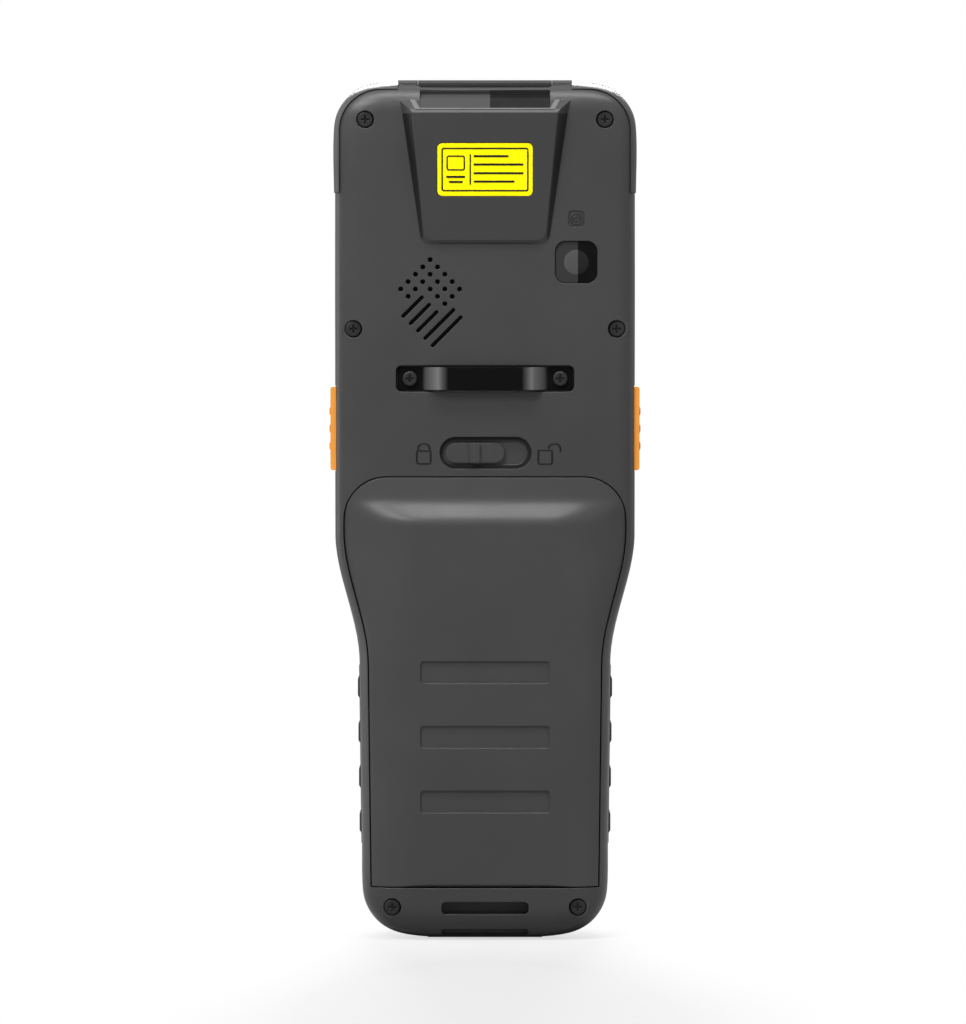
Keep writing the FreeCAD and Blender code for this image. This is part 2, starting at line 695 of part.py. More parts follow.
def rear_cutters():
    """Cuts of the rear housing, in groups whose pieces lie apart from one another."""
    groups = [
        [side_prism(DOOR_RIM - GAP, DOOR_BOTTOM - GAP, DOOR_TOP + GAP, DOOR_CORNER_R + GAP,
                    -GRIP_DEPTH - 2.0, -LEDGE_DEPTH)],
        [side_prism(DOOR_RIM + DOOR_SKIRT, DOOR_BOTTOM + DOOR_SKIRT + 2.0, DOOR_TOP - DOOR_SKIRT,
                    DOOR_CORNER_R - DOOR_SKIRT, -GRIP_DEPTH, -BAY_FLOOR)],
        [side_prism(RIM + 0.3, 14.0, CAVITY_LOW + 0.5, 0.0, UNDER_FLOOR, 0.01)],
        [body_prism(2.5, -0.8, 0.01).cut(body_prism(3.3, -1.0, 0.1))],
        [
            bumper_zone(),
            mirrored(bumper_zone()),
            grip_pad(0.0),
            mirrored(grip_pad(0.0)),
            trigger_opening(),
            mirrored(trigger_opening()),
        ],
        [
            plate(0.0, BAR_Z, 2.0 * BAR_RECESS_HALF, BAR_RECESS_HEIGHT, 1.4, -GRIP_DEPTH,
                  -(BODY_DEPTH - BAR_RECESS_DEEP)),
            plate(CAMERA_X, CAMERA_Z, CAMERA_SIZE, CAMERA_SIZE, 2.5, -GRIP_DEPTH,
                  -(BODY_DEPTH - CAMERA_RECESS)),
            plate(CAMERA_X, FLASH_Z, FLASH_SIZE, FLASH_SIZE, 1.0, -GRIP_DEPTH, INNER_BACK + 1.0),
            on_hood(plate(0.0, (LABEL_LOW + LABEL_HIGH) / 2.0, 2.0 * LABEL_HALF + 0.2,
                          LABEL_HIGH - LABEL_LOW + 0.2, 1.25, -GRIP_DEPTH - 2.0,
                          -(BODY_DEPTH + HOOD_RISE_LOW) + LABEL_THICK)),
        ],
        [latch_recess()],
        [plate(GRILLE_X, MESH_Z, MESH_WIDE + 0.2, MESH_HIGH + 0.2, 2.1, INNER_BACK - MESH_SUNK,
               INNER_BACK + 1.4)],
        [
            cylinder_y(CAMERA_X, CAMERA_Z, CAMERA_LENS_R + 0.6, -GRIP_DEPTH, INNER_BACK + 1.0),
            box(-ENGINE_POCKET_HALF, ENGINE_POCKET_HALF, -12.4, 0.01, 178.0, 200.0),
            box(-16.0, 16.0, -CAP_FRONT - 1.0, -CAP_BACK, WINDOW_HIGH[1] + 0.3, HOOD_TOP + 1.0),
        ],
        [on_window(plate(0.0, 0.0, 2.0 * WINDOW_HALF + 2.0 * SEAT, WINDOW_LONG, 1.2, -1.0,
                         WINDOW_THICK + 0.4))],
        [on_window(plate(0.0, -0.4, 2.0 * ENGINE_POCKET_HALF - 2.0, WINDOW_LONG - 3.4, 1.0, 0.0, 5.0))],
        [
            chin_slot(SLOT_UPPER),
            chin_slot(SLOT_LOWER),
        ],
        [box(-SLOT_HALF, SLOT_HALF, -TUNNEL_OUTER, -TUNNEL_INNER, SLOT_LOWER[0], SLOT_UPPER[1])],
    ]
    groups += grille()
    holes = []
    for side in (1.0, -1.0):
        holes.append(cylinder_y(side * BAR_SCREW_X, BAR_Z, SCREW_R + 0.02, -BODY_DEPTH, -6.6))
        near = HOOK_NEAR - GAP if side > 0 else -HOOK_NEAR - HOOK_WIDE - GAP
        holes.append(hook(near, HOOK_WIDE + 2.0 * GAP, GAP, HOOK_REACH_DEG + 6.0))
        for x, z in CASE_SCREWS:
            seat = -(back_surface(x, z) - SCREW_SUNK - SCREW_HEAD)
            shank = cylinder_y(side * x, z, SCREW_R + 0.1, -GRIP_DEPTH, 0.01)
            holes.append(shank.fuse(cylinder_y(side * x, z, SCREW_HEAD_R + 0.2, -GRIP_DEPTH - 1.0, seat)))
    groups.append(holes)
    return groups


def rear_housing():
    shell = back_loft()
    cavity = back_loft(WALL).common(
        side_prism(RIM, CAVITY_LOW, BODY_TOP - RIM, HEAD_CORNER_R - RIM, -GRIP_DEPTH, 0.01))
    shell = shell.fuse(hood_block()).cut(cavity)
    adds = [box(-FOOT_HALF, FOOT_HALF, FOOT_REAR, -0.5, 0.0, BODY_BOTTOM + 0.5)]
    for x, z in CASE_SCREWS:
        top = -(back_surface(x, z) - 0.8)
        for side in (1.0, -1.0):
            adds.append(cylinder_y(side * x, z, BOSS_R, top, 0.0))
    adds.append(plate(0.0, BAR_Z, 2.0 * BAR_RECESS_HALF + 2.0, BAR_RECESS_HEIGHT + 2.6, 1.0,
                      -(BODY_DEPTH - 0.5), -(BODY_DEPTH - BAR_RECESS_DEEP - 1.6)))
    for side in (1.0, -1.0):
        adds.append(cylinder_y(side * BAR_SCREW_X, BAR_Z, BOSS_R, -BODY_DEPTH + 1.0, -6.0))
        for x, z in BOARD_POSTS:
            adds.append(cylinder_y(side * x, z, 1.8, INNER_BACK - 0.5, MAIN_BOARD_Y))
        rib = box(SWITCH_X - 0.3, SWITCH_X + 2.1, INNER_BACK - 0.5, -8.0, TRIGGER_LOW + 7.0, TRIGGER_HIGH - 7.0)
        adds.append(rib if side > 0 else mirrored(rib))
    shell = fused([shell] + adds)
    for group in rear_cutters():
        shell = shell.cut(group)
    return shell


def latch_recess():
    low = LATCH_RECESS_LOW
    high = LATCH_RECESS_HIGH
    outer = plate((low + high) / 2.0, LATCH_Z, high - low, LATCH_RECESS_HEIGHT,
                  LATCH_RECESS_HEIGHT / 2.0 - 0.02, -GRIP_DEPTH, -(BODY_DEPTH - LATCH_RECESS_DEEP))
    track = plate((low + 0.6 + LATCH_TRACK_HIGH) / 2.0, LATCH_Z, LATCH_TRACK_HIGH - low - 0.6,
                  LATCH_TRACK_HEIGHT, LATCH_TRACK_HEIGHT / 2.0 - 0.02, -GRIP_DEPTH,
                  -(BODY_DEPTH - LATCH_TRACK_DEEP))
    slot = box(LATCH_NECK_LOW - GAP, LATCH_NECK_HIGH + LATCH_TRAVEL + GAP, -BODY_DEPTH, INNER_BACK + 1.0,
               LATCH_Z - LATCH_NECK_HALF - 0.2, LATCH_Z + LATCH_NECK_HALF + 0.2)
    tongue = box(-7.0 - GAP, -2.0 + LATCH_TRAVEL + GAP, INNER_BACK - 0.1, INNER_BACK + 1.9,
                 DOOR_TOP, CAVITY_LOW + 1.0)
    return fused([outer, track, slot, tongue])


def latch_slider():
    under = -(BODY_DEPTH - LATCH_TRACK_DEEP) - 0.1
    body = plate((LATCH_LOW + LATCH_HIGH) / 2.0, LATCH_Z, LATCH_HIGH - LATCH_LOW, LATCH_HEIGHT,
                 LATCH_HEIGHT / 2.0 - 0.02, under - LATCH_THICK, under)
    rib = plate(-2.45, LATCH_Z, 2.4, LATCH_HEIGHT, 0.4, under - LATCH_THICK - 0.7, under)
    neck = box(LATCH_NECK_LOW, LATCH_NECK_HIGH, under - 0.1, INNER_BACK + 1.3, LATCH_Z - LATCH_NECK_HALF,
               LATCH_Z + LATCH_NECK_HALF)
    return fused([body, rib, neck])


def latch_bolt():
    near = INNER_BACK + 0.2
    bar = box(-8.0, 3.0, near, near + 1.2, CAVITY_LOW + 0.4, LATCH_Z + 3.4)
    tongue = box(-7.0, -2.0, near, near + 1.2, DOOR_TOP + GAP, CAVITY_LOW + 0.6)
    hole = box(LATCH_NECK_LOW - 0.02, LATCH_NECK_HIGH + 0.02, near - 1.0, near + 2.0,
               LATCH_Z - LATCH_NECK_HALF - 0.02, LATCH_Z + LATCH_NECK_HALF + 0.02)
    return bar.fuse(tongue).cut(hole)


def latch_detent_spring():
    low = LATCH_Z + 3.4 + 0.4
    leaf = box(-12.0, 8.0, INNER_BACK + SEAT, INNER_BACK + 1.6, low + 0.6, low + 0.9)
    bump = Part.makeCylinder(0.6, 1.4, Vector(-2.5, INNER_BACK + 0.1, low + 0.7), Vector(0, 1, 0))
    bump = bump.common(box(-4.0, 0.0, INNER_BACK, INNER_BACK + 3.0, low, low + 0.8))
    foot = box(-13.5, -11.0, INNER_BACK, INNER_BACK + 1.6, low + 0.6, low + 2.4)
    return fused([leaf, bump, foot])


def battery_door():
    skin = door_loft()
    edge = -(LEDGE_DEPTH + GASKET_THICK + GAP)
    outline = side_prism(DOOR_RIM, DOOR_BOTTOM, DOOR_TOP, DOOR_CORNER_R, -GRIP_DEPTH - 2.0, edge)
    hollow = side_prism(DOOR_RIM + DOOR_SKIRT, DOOR_BOTTOM + DOOR_SKIRT, DOOR_TOP - DOOR_SKIRT,
                        DOOR_CORNER_R - DOOR_SKIRT, -GRIP_DEPTH - 1.0, edge + 1.0)
    door = skin.common(outline).cut(door_loft(WALL).common(hollow))
    cutters = []
    for i in range(3):
        cutters.append(plate(0.0, PAD_FIRST + i * PAD_STEP, 2.0 * PAD_HALF, PAD_HEIGHT, 0.8,
                             -GRIP_DEPTH - 2.0, -(GRIP_DEPTH - PAD_DEEP)))
    corner = box(-40.0, 40.0, -GRIP_DEPTH - 2.0, HINGE_Y, DOOR_BOTTOM - 1.0, HINGE_Z)
    cutters.append(corner.cut(cylinder_x(HINGE_Y, HINGE_Z, HINGE_INSET, -41.0, 41.0)))
    door = door.cut(cutters)
    hooks = [hook(HOOK_NEAR, HOOK_WIDE, 0.0, HOOK_REACH_DEG),
             hook(-HOOK_NEAR - HOOK_WIDE, HOOK_WIDE, 0.0, HOOK_REACH_DEG)]
    return fused([door] + hooks)


def door_gasket():
    y0 = -(LEDGE_DEPTH + GASKET_THICK)
    outer = side_prism(DOOR_RIM + 0.1, DOOR_BOTTOM + 0.1, DOOR_TOP - 0.1, DOOR_CORNER_R - 0.1,
                       y0, -LEDGE_DEPTH)
    inner = side_prism(DOOR_RIM + DOOR_SKIRT - 0.1, DOOR_BOTTOM + DOOR_SKIRT - 0.1,
                       DOOR_TOP - DOOR_SKIRT + 0.1, DOOR_CORNER_R - DOOR_SKIRT, y0 - 1.0, -LEDGE_DEPTH + 1.0)
    return outer.cut(inner)


def front_housing():
    shell = front_loft()
    under = FRONT_DEPTH - WALL
    cavity = side_prism(RIM, BODY_BOTTOM + RIM, BODY_TOP - RIM, HEAD_CORNER_R - RIM, -0.01, under,
                        FOOT_CORNER_R - RIM)
    shell = shell.cut(cavity)
    adds = [
        side_prism(RIM - 0.5, KEY_FIELD_LOW - 3.0, KEY_FIELD_HIGH + 3.0, 0.0, KEY_UNDER_Y, under + 0.1),
        box(-FOOT_HALF, FOOT_HALF, 0.5, FOOT_FRONT - 2.2, 0.0, BODY_BOTTOM + 0.5),
    ]
    for x, z in CASE_SCREWS:
        for side in (1.0, -1.0):
            adds.append(cylinder_y(side * x, z, BOSS_R - 0.3, 0.0, under + 0.1))
    shell = fused([shell] + adds)
    glass_z = (GLASS_LOW + GLASS_HIGH) / 2.0
    view_z = (VIEW_LOW + VIEW_HIGH) / 2.0
    field_z = (KEY_FIELD_LOW + KEY_FIELD_HIGH) / 2.0
    cutters = [
        plate(0.0, glass_z, 2.0 * GLASS_HALF + 2.0 * SEAT, GLASS_HIGH - GLASS_LOW + 2.0 * SEAT, 3.0,
              FRONT_DEPTH - GLASS_SUNK - GLASS_THICK, FRONT_DEPTH + 2.0),
        plate(0.0, view_z, 2.0 * VIEW_HALF, VIEW_HIGH - VIEW_LOW, 0.8, 0.0, FRONT_DEPTH),
        plate(0.0, field_z, 2.0 * KEY_FIELD_HALF, KEY_FIELD_HIGH - KEY_FIELD_LOW, 4.0, KEY_FACE_Y,
              FRONT_DEPTH + 2.0),
        bumper_zone(),
        mirrored(bumper_zone()),
        grip_pad(0.0),
        mirrored(grip_pad(0.0)),
        box(-DOCK_HALF - SEAT, DOCK_HALF + SEAT, DOCK_REAR - SEAT, DOCK_FRONT + SEAT, -1.0, DOCK_HIGH),
        plate(0.0, EARPIECE_Z, 11.0, 1.4, 0.65, 0.0, FRONT_DEPTH + 2.0),
        cylinder_y(0.0, 9.0, 0.6, 0.0, FRONT_DEPTH + 2.0),
        cylinder_y(STATUS_X, EARPIECE_Z, STATUS_R + SEAT, 0.0, FRONT_DEPTH + 2.0),
    ]
    for side in (1.0, -1.0):
        for x, z in CASE_SCREWS:
            cutters.append(cylinder_y(side * x, z, SCREW_R + 0.02, -0.01, CASE_SCREW_END + 0.4))
    for name, x, z, wide, high in all_keys():
        cutters.append(plate(x, z, wide + 2.0 * KEY_SIDE_GAP, high + 2.0 * KEY_SIDE_GAP,
                             key_corner(high) + KEY_SIDE_GAP, 0.0, FRONT_DEPTH))
    return shell.cut(cutters)


def all_keys():
    keys = list(KEYS)
    for i, name in enumerate(DIGITS):
        x = (i % 3 - 1) * DIGIT_STEP_X
        z = DIGIT_TOP_Z - (i // 3) * DIGIT_STEP_Z
        keys.append(("key_" + name, x, z, DIGIT_WIDE, DIGIT_HIGH))
    return keys


def key_corner(high):
    return high * 0.3


def key_cap(x, z, wide, high):
    top = FRONT_DEPTH - KEY_TOP_SUNK
    flange_top = KEY_UNDER_Y - KEY_REST_GAP
    cap = plate(x, z, wide, high, key_corner(high), flange_top - 0.2, top)
    rim = [e for e in cap.Edges if e.BoundBox.YMin > top - 0.01]
    cap = cap.makeFillet(0.5, rim)
    flange = plate(x, z, wide + 2.0 * KEY_FLANGE_WIDE, high + 2.0 * KEY_FLANGE_WIDE,
                   key_corner(high) + KEY_FLANGE_WIDE, flange_top - KEY_FLANGE, flange_top)
    return cap.fuse(flange)


def keypad_board():
    low = KEY_FIELD_LOW - 2.0
    high = KEY_FIELD_HIGH + 1.0
    return plate(0.0, (low + high) / 2.0, 2.0 * (KEY_FIELD_HALF + 0.4), high - low, 2.0, KEYPAD_BOARD_Y,
                 KEYPAD_BOARD_Y + BOARD_THICK)


def keypad_membrane():
    low = KEY_FIELD_LOW - 1.0
    high = KEY_FIELD_HIGH
    y0 = KEYPAD_BOARD_Y + BOARD_THICK
    sheet = plate(0.0, (low + high) / 2.0, 2.0 * KEY_FIELD_HALF, high - low, 2.0, y0, y0 + MEMBRANE_THICK)
    domes = [cylinder_y(x, z, 2.4, y0 + MEMBRANE_THICK - 0.1, y0 + MEMBRANE_THICK + 0.4)
             for name, x, z, wide, high in all_keys()]
    return fused([sheet] + domes)


def bumper():
    """Right corner bumper: a rubber strip standing just proud of both housings."""
    zone = bumper_zone()
    rear = back_loft(-BUMPER_PROUD).common(zone)
    front = front_loft(-BUMPER_PROUD).common(zone)
    return rear.fuse(front).removeSplitter()


def strap_bar():
    floor = -(BODY_DEPTH - BAR_RECESS_DEEP)
    foot = floor - BAR_THICK
    top = floor - BAR_RISE
    points = (
        (-BAR_HALF, floor), (-BAR_HALF, foot), (-BAR_LEG_FOOT, foot), (-BAR_LEG_TOP, top - BAR_THICK),
        (BAR_LEG_TOP, top - BAR_THICK), (BAR_LEG_FOOT, foot), (BAR_HALF, foot), (BAR_HALF, floor),
        (BAR_LEG_FOOT - 0.8, floor), (BAR_LEG_TOP - 1.4, top), (-BAR_LEG_TOP + 1.4, top),
        (-BAR_LEG_FOOT + 0.8, floor),
    )
    radii = (0.0, 0.3, 0.8, 1.6, 1.6, 0.8, 0.3, 0.0, 0.5, 0.6, 0.6, 0.5)
    bar = prism_z(points, radii, BAR_Z - BAR_HEIGHT / 2.0, BAR_Z + BAR_HEIGHT / 2.0)
    holes = [cylinder_y(s * BAR_SCREW_X, BAR_Z, SCREW_R + 0.05, -GRIP_DEPTH, 0.0) for s in (1.0, -1.0)]
    return bar.cut(holes)


def screw(x, z, seat, end, head_r, head):
    body = cylinder_y(x, z, head_r, seat - head, seat)
    rim = [e for e in body.Edges if e.BoundBox.YMax < seat - head + 0.01]
    body = body.makeFillet(0.35, rim)
    shank = cylinder_y(x, z, SCREW_R, seat - 0.1, end)
    cross = []
    for wide, high in ((1.9, 0.45), (0.45, 1.9)):
        cross.append(box(x - wide / 2, x + wide / 2, seat - head - 1.0, seat - head + 0.7,
                         z - high / 2, z + high / 2))
    return body.fuse(shank).cut(cross)


def housing_screws():
    made = []
    for side in (1.0, -1.0):
        for x, z in CASE_SCREWS:
            seat = -(back_surface(x, z) - SCREW_SUNK - SCREW_HEAD)
            made.append(screw(side * x, z, seat, CASE_SCREW_END, SCREW_HEAD_R, SCREW_HEAD))
    return Part.makeCompound(made)


def strap_bar_screws():
    seat = -(BODY_DEPTH - BAR_RECESS_DEEP) - BAR_THICK
    made = [screw(side * BAR_SCREW_X, BAR_Z, seat, -6.8, 1.75, 1.0) for side in (1.0, -1.0)]
    return Part.makeCompound(made)


def scan_trigger():
    """Right side trigger with its finger bumps and the flange that keeps it in the wall."""
    out = BODY_HALF + TRIGGER_PROUD
    base = BODY_HALF - TRIGGER_CAP
    points = ((base, TRIGGER_LOW), (out, TRIGGER_LOW), (out, TRIGGER_HIGH), (base, TRIGGER_HIGH))
    cap = prism_y(points, (0.0, 0.7, 0.7, 0.0), TRIGGER_FAR_Y, TRIGGER_NEAR_Y)
    bumps = []
    for z in (TRIGGER_LOW + 5.8, TRIGGER_LOW + 9.9, TRIGGER_LOW + 14.1):
        bump = ((out - 0.3, z - 1.1), (out, z - 1.1), (out + TRIGGER_BUMP, z - 0.6),
                (out + TRIGGER_BUMP, z + 0.6), (out, z + 1.1), (out - 0.3, z + 1.1))
        bumps.append(prism_y(bump, [0.0] * 6, TRIGGER_FAR_Y + 0.8, TRIGGER_NEAR_Y - 0.8))
    inner = BODY_HALF - RIM - GAP
    stem = box(inner - 0.1, base + 0.1, TRIGGER_FAR_Y + 1.0, TRIGGER_NEAR_Y - 1.0, TRIGGER_LOW + 2.0,
               TRIGGER_HIGH - 2.0)
    flange = box(inner - TRIGGER_FLANGE, inner, TRIGGER_FAR_Y + 0.2, TRIGGER_NEAR_Y - 0.2,
                 CAVITY_LOW + GAP, TRIGGER_HIGH - 0.5)
    return fused([cap, stem, flange] + bumps)


def trigger_switches():
    face = SWITCH_X + 2.0
    middle_y = (TRIGGER_NEAR_Y + TRIGGER_FAR_Y) / 2.0
    middle_z = (TRIGGER_LOW + TRIGGER_HIGH) / 2.0
    body = box(SWITCH_X, face, middle_y - SWITCH_HALF, middle_y + SWITCH_HALF, middle_z - 2.6, middle_z + 2.6)
    button = Part.makeCylinder(0.9, 0.4, Vector(face - 0.1, middle_y, middle_z), Vector(1, 0, 0))
    right = body.fuse(button)
    return Part.makeCompound([right, mirrored(right)])


def window_glass():
    return on_window(plate(0.0, 0.0, 2.0 * WINDOW_HALF, WINDOW_LONG - 2.0 * SEAT, 1.2, 0.05,
                           WINDOW_THICK))


def window_gasket():
    outer = plate(0.0, 0.0, 2.0 * WINDOW_HALF, WINDOW_LONG - 2.0 * SEAT, 1.2, WINDOW_THICK,
                  WINDOW_THICK + 0.4)
    inner = plate(0.0, -0.4, 2.0 * ENGINE_POCKET_HALF - 1.6, WINDOW_LONG - 3.0, 1.0, WINDOW_THICK - 1.0,
                  WINDOW_THICK + 2.0)
    return on_window(outer.cut(inner))


def window_cap():
    points = ((-CAP_FRONT, WINDOW_HIGH[1] + 0.35), (-CAP_FRONT, HOOD_TOP - 0.6), (-CAP_FRONT + 0.6, HOOD_TOP),
              (-CAP_BACK - SEAT, HOOD_TOP), (-CAP_BACK - SEAT, WINDOW_HIGH[1] + 0.35))
    return prism_x(points, [0.0] * 5, -16.0 + 0.08, 16.0 - 0.08)


def scan_engine():
    body = box(-10.5, 10.5, -12.35, -5.0, 184.0, 196.5)
    lens = Part.makeCylinder(3.0, 1.2, Vector(-4.5, -9.0, 196.4), Vector(0, 0, 1))
    lamp = box(2.5, 8.5, -11.0, -7.0, 196.4, 197.2)
    tabs = box(-11.9, 11.9, -12.35, -11.3, 186.0, 190.0)
    return fused([body, lens, lamp, tabs])


def camera_window():
    y = -(BODY_DEPTH - CAMERA_RECESS)
    glass = plate(CAMERA_X, CAMERA_Z, CAMERA_SIZE - 0.3, CAMERA_SIZE - 0.3, 2.35, y - 0.9, y)
    return glass


def camera_module():
    body = plate(CAMERA_X, CAMERA_Z, 8.6, 8.6, 0.8, INNER_BACK + 0.2, -5.0)
    barrel = cylinder_y(CAMERA_X, CAMERA_Z, CAMERA_LENS_R, -(BODY_DEPTH - CAMERA_RECESS) + SEAT, -10.0)
    return body.fuse(barrel)


def flash_lens():
    return plate(CAMERA_X, FLASH_Z, FLASH_SIZE - 0.1, FLASH_SIZE - 0.1, 0.95, -BODY_DEPTH + 0.1,
                 INNER_BACK - 0.1)


def flash_led():
    return plate(CAMERA_X, FLASH_Z, 2.6, 2.6, 0.3, INNER_BACK - 0.1, INNER_BACK + 0.9).fuse(
        box(CAMERA_X - 3.0, CAMERA_X + 3.0, INNER_BACK + 0.05, INNER_BACK + 0.9, FLASH_Z - 2.6, FLASH_Z + 2.6))


def speaker():
    x = GRILLE_X
    z = 153.0
    body = plate(x, z, 16.0, 17.0, 3.0, INNER_BACK + 0.5, -7.0)
    return body.fuse(plate(x, z, 12.0, 12.0, 3.0, -7.1, -5.6))


def speaker_mesh():
    y = INNER_BACK - MESH_SUNK + SEAT
    return plate(GRILLE_X, MESH_Z, MESH_WIDE, MESH_HIGH, 2.0, y, y + MESH_THICK)


def vibration_motor():
    body = cylinder_x(INNER_BACK + 2.3, 170.6, 2.2, -20.0, -12.0)
    weight = cylinder_x(INNER_BACK + 2.3, 170.6, 0.5, -12.1, -10.0)
    weight = weight.fuse(cylinder_x(INNER_BACK + 2.3, 170.6, 1.9, -11.5, -9.5).common(
        box(-12.0, -9.0, INNER_BACK, INNER_BACK + 5.0, 168.0, 170.9)))
    return body.fuse(weight)


def main_board():
    middle = (MAIN_BOARD_LOW + MAIN_BOARD_HIGH) / 2.0
    board = plate(0.0, middle, 2.0 * MAIN_BOARD_HALF, MAIN_BOARD_HIGH - MAIN_BOARD_LOW, 3.0, MAIN_BOARD_Y,
                  MAIN_BOARD_Y + BOARD_THICK)
    cuts = [cylinder_y(s * x, z, BOSS_R + 0.4, 0.0, 4.0) for x, z in CASE_SCREWS for s in (1.0, -1.0)]
    return board.cut(cuts)


def board_shields():
    big = plate(-2.0, 172.0, 26.0, 11.0, 0.6, MAIN_BOARD_Y - 1.9, MAIN_BOARD_Y)
    low = plate(0.0, 146.0, 22.0, 14.0, 0.6, MAIN_BOARD_Y - 1.9, MAIN_BOARD_Y)
    return Part.makeCompound([big, low])


def display_panel():
    under = FRONT_DEPTH - WALL - SEAT
    z = (VIEW_LOW + VIEW_HIGH) / 2.0
    return plate(0.0, z, 2.0 * VIEW_HALF + 1.6, VIEW_HIGH - VIEW_LOW + 3.0, 0.6, under - DISPLAY_THICK, under)


def touch_glass():
    z = (GLASS_LOW + GLASS_HIGH) / 2.0
    y = FRONT_DEPTH - GLASS_SUNK
    return plate(0.0, z, 2.0 * GLASS_HALF, GLASS_HIGH - GLASS_LOW, 2.95, y - GLASS_THICK, y)


def casing_gasket():
    return body_prism(2.55, -0.8, -0.02).cut(body_prism(3.25, -1.0, 0.1))


def battery_pack():
    back = -(GRIP_DEPTH - WALL - 0.7)
    points = ((-BATTERY_HALF, -BAY_FLOOR - SEAT), (-BATTERY_HALF, back + 4.0), (-BATTERY_HALF + 7.0, back),
              (BATTERY_HALF - 7.0, back), (BATTERY_HALF, back + 4.0), (BATTERY_HALF, -BAY_FLOOR - SEAT))
    pack = prism_z(points, (0.8, 1.5, 1.5, 1.5, 1.5, 0.8), BATTERY_LOW, BATTERY_HIGH)
    return pack


def battery_contacts():
    block = box(-9.0, 9.0, -9.0, -BAY_FLOOR, 16.6, 19.6)
    blades = [box(x - 0.5, x + 0.5, -7.6, -5.0, 19.5, 20.3) for x in (-6.0, -3.0, 0.0, 3.0, 6.0)]
    return fused([block] + blades)


def card_sockets():
    left = box(-14.0, -1.0, -BAY_FLOOR - 1.6, -BAY_FLOOR, 98.2, 107.0)
    right = box(1.0, 14.0, -BAY_FLOOR - 1.6, -BAY_FLOOR, 98.2, 107.0)
    return Part.makeCompound([left, right])


def dock_connector():
    body = box(-DOCK_HALF, DOCK_HALF, DOCK_REAR, DOCK_FRONT, 0.4, DOCK_HIGH)
    tongue = box(-DOCK_HALF + 1.0, DOCK_HALF - 1.0, DOCK_REAR + 0.9, DOCK_FRONT - 0.9, -1.0, 5.0)
    pins = [box(x - 0.4, x + 0.4, DOCK_REAR + 1.6, DOCK_FRONT - 1.6, 1.0, 5.2)
            for x in (-5.25, -3.75, -2.25, -0.75, 0.75, 2.25, 3.75, 5.25)]
    return fused([body.cut(tongue)] + pins)


def label_plate():
    y = -(BODY_DEPTH + HOOD_RISE_LOW)
    z = (LABEL_LOW + LABEL_HIGH) / 2.0
    return on_hood(plate(0.0, z, 2.0 * LABEL_HALF, LABEL_HIGH - LABEL_LOW, 1.2, y + 0.02, y + LABEL_THICK))


def status_light():
    return cylinder_y(STATUS_X, EARPIECE_Z, STATUS_R, FRONT_DEPTH - WALL + 0.2, FRONT_DEPTH - 0.2)


def build():
    right_bumper = bumper()
    right_grip = grip_pad(GRIP_BUMP_PROUD)
    right_trigger = scan_trigger()
    nodes = {
        "rear_housing": rear_housing(),
        "front_housing": front_housing(),
        "battery_door": battery_door(),
        "door_gasket": door_gasket(),
        "bumper_right": right_bumper,
        "bumper_left": mirrored(right_bumper),
        "side_grip_right": right_grip,
        "side_grip_left": mirrored(right_grip),
        "scan_trigger_right": right_trigger,
        "scan_trigger_left": mirrored(right_trigger),
        "trigger_switches": trigger_switches(),
        "latch_slider": latch_slider(),
        "latch_bolt": latch_bolt(),
        "latch_detent_spring": latch_detent_spring(),
        "strap_bar": strap_bar(),
        "strap_bar_screws": strap_bar_screws(),
        "housing_screws": housing_screws(),
        "scan_window": window_glass(),
        "scan_window_gasket": window_gasket(),
        "scan_window_cap": window_cap(),
        "scan_engine": scan_engine(),
        "camera_window": camera_window(),
        "camera_module": camera_module(),
        "flash_lens": flash_lens(),
        "flash_led": flash_led(),
        "speaker": speaker(),
        "speaker_mesh": speaker_mesh(),
        "vibration_motor": vibration_motor(),
        "label_plate": label_plate(),
        "casing_gasket": casing_gasket(),
        "battery_pack": battery_pack(),
        "battery_contacts": battery_contacts(),
        "card_sockets": card_sockets(),
        "dock_connector": dock_connector(),
        "main_board": main_board(),
        "board_shields": board_shields(),
        "keypad_board": keypad_board(),
        "keypad_membrane": keypad_membrane(),
        "display_panel": display_panel(),
        "touch_glass": touch_glass(),
        "status_light": status_light(),
    }
    for name, x, z, wide, high in all_keys():
        nodes[name] = key_cap(x, z, wide, high)
    for name, shape in nodes.items():
        shape.translate(Vector(0, PARTING_Y, 0))
        shape.exportStep("parts/" + name + ".step")
        print(name, len(shape.Solids), round(shape.Volume, 1), shape.isValid())


build()
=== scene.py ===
# %% [markdown]
# # Dressing a rugged handheld data terminal
#
# The terminal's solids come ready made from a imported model. This lesson gives them the look of the real thing:
# moulded plastic with a fine grain, rubber, black steel, glass and print. It also adds the small pieces that
# only the eye needs, such as raised signs, the rings of the flash lens and the ridges on the rubber corners.
# Lengths on the terminal are in millimetres, and MM turns them to metres. The studio round it is in metres.

# %% Load the frame
import json
import math
import bmesh
import bpy
from mathutils import Matrix, Vector

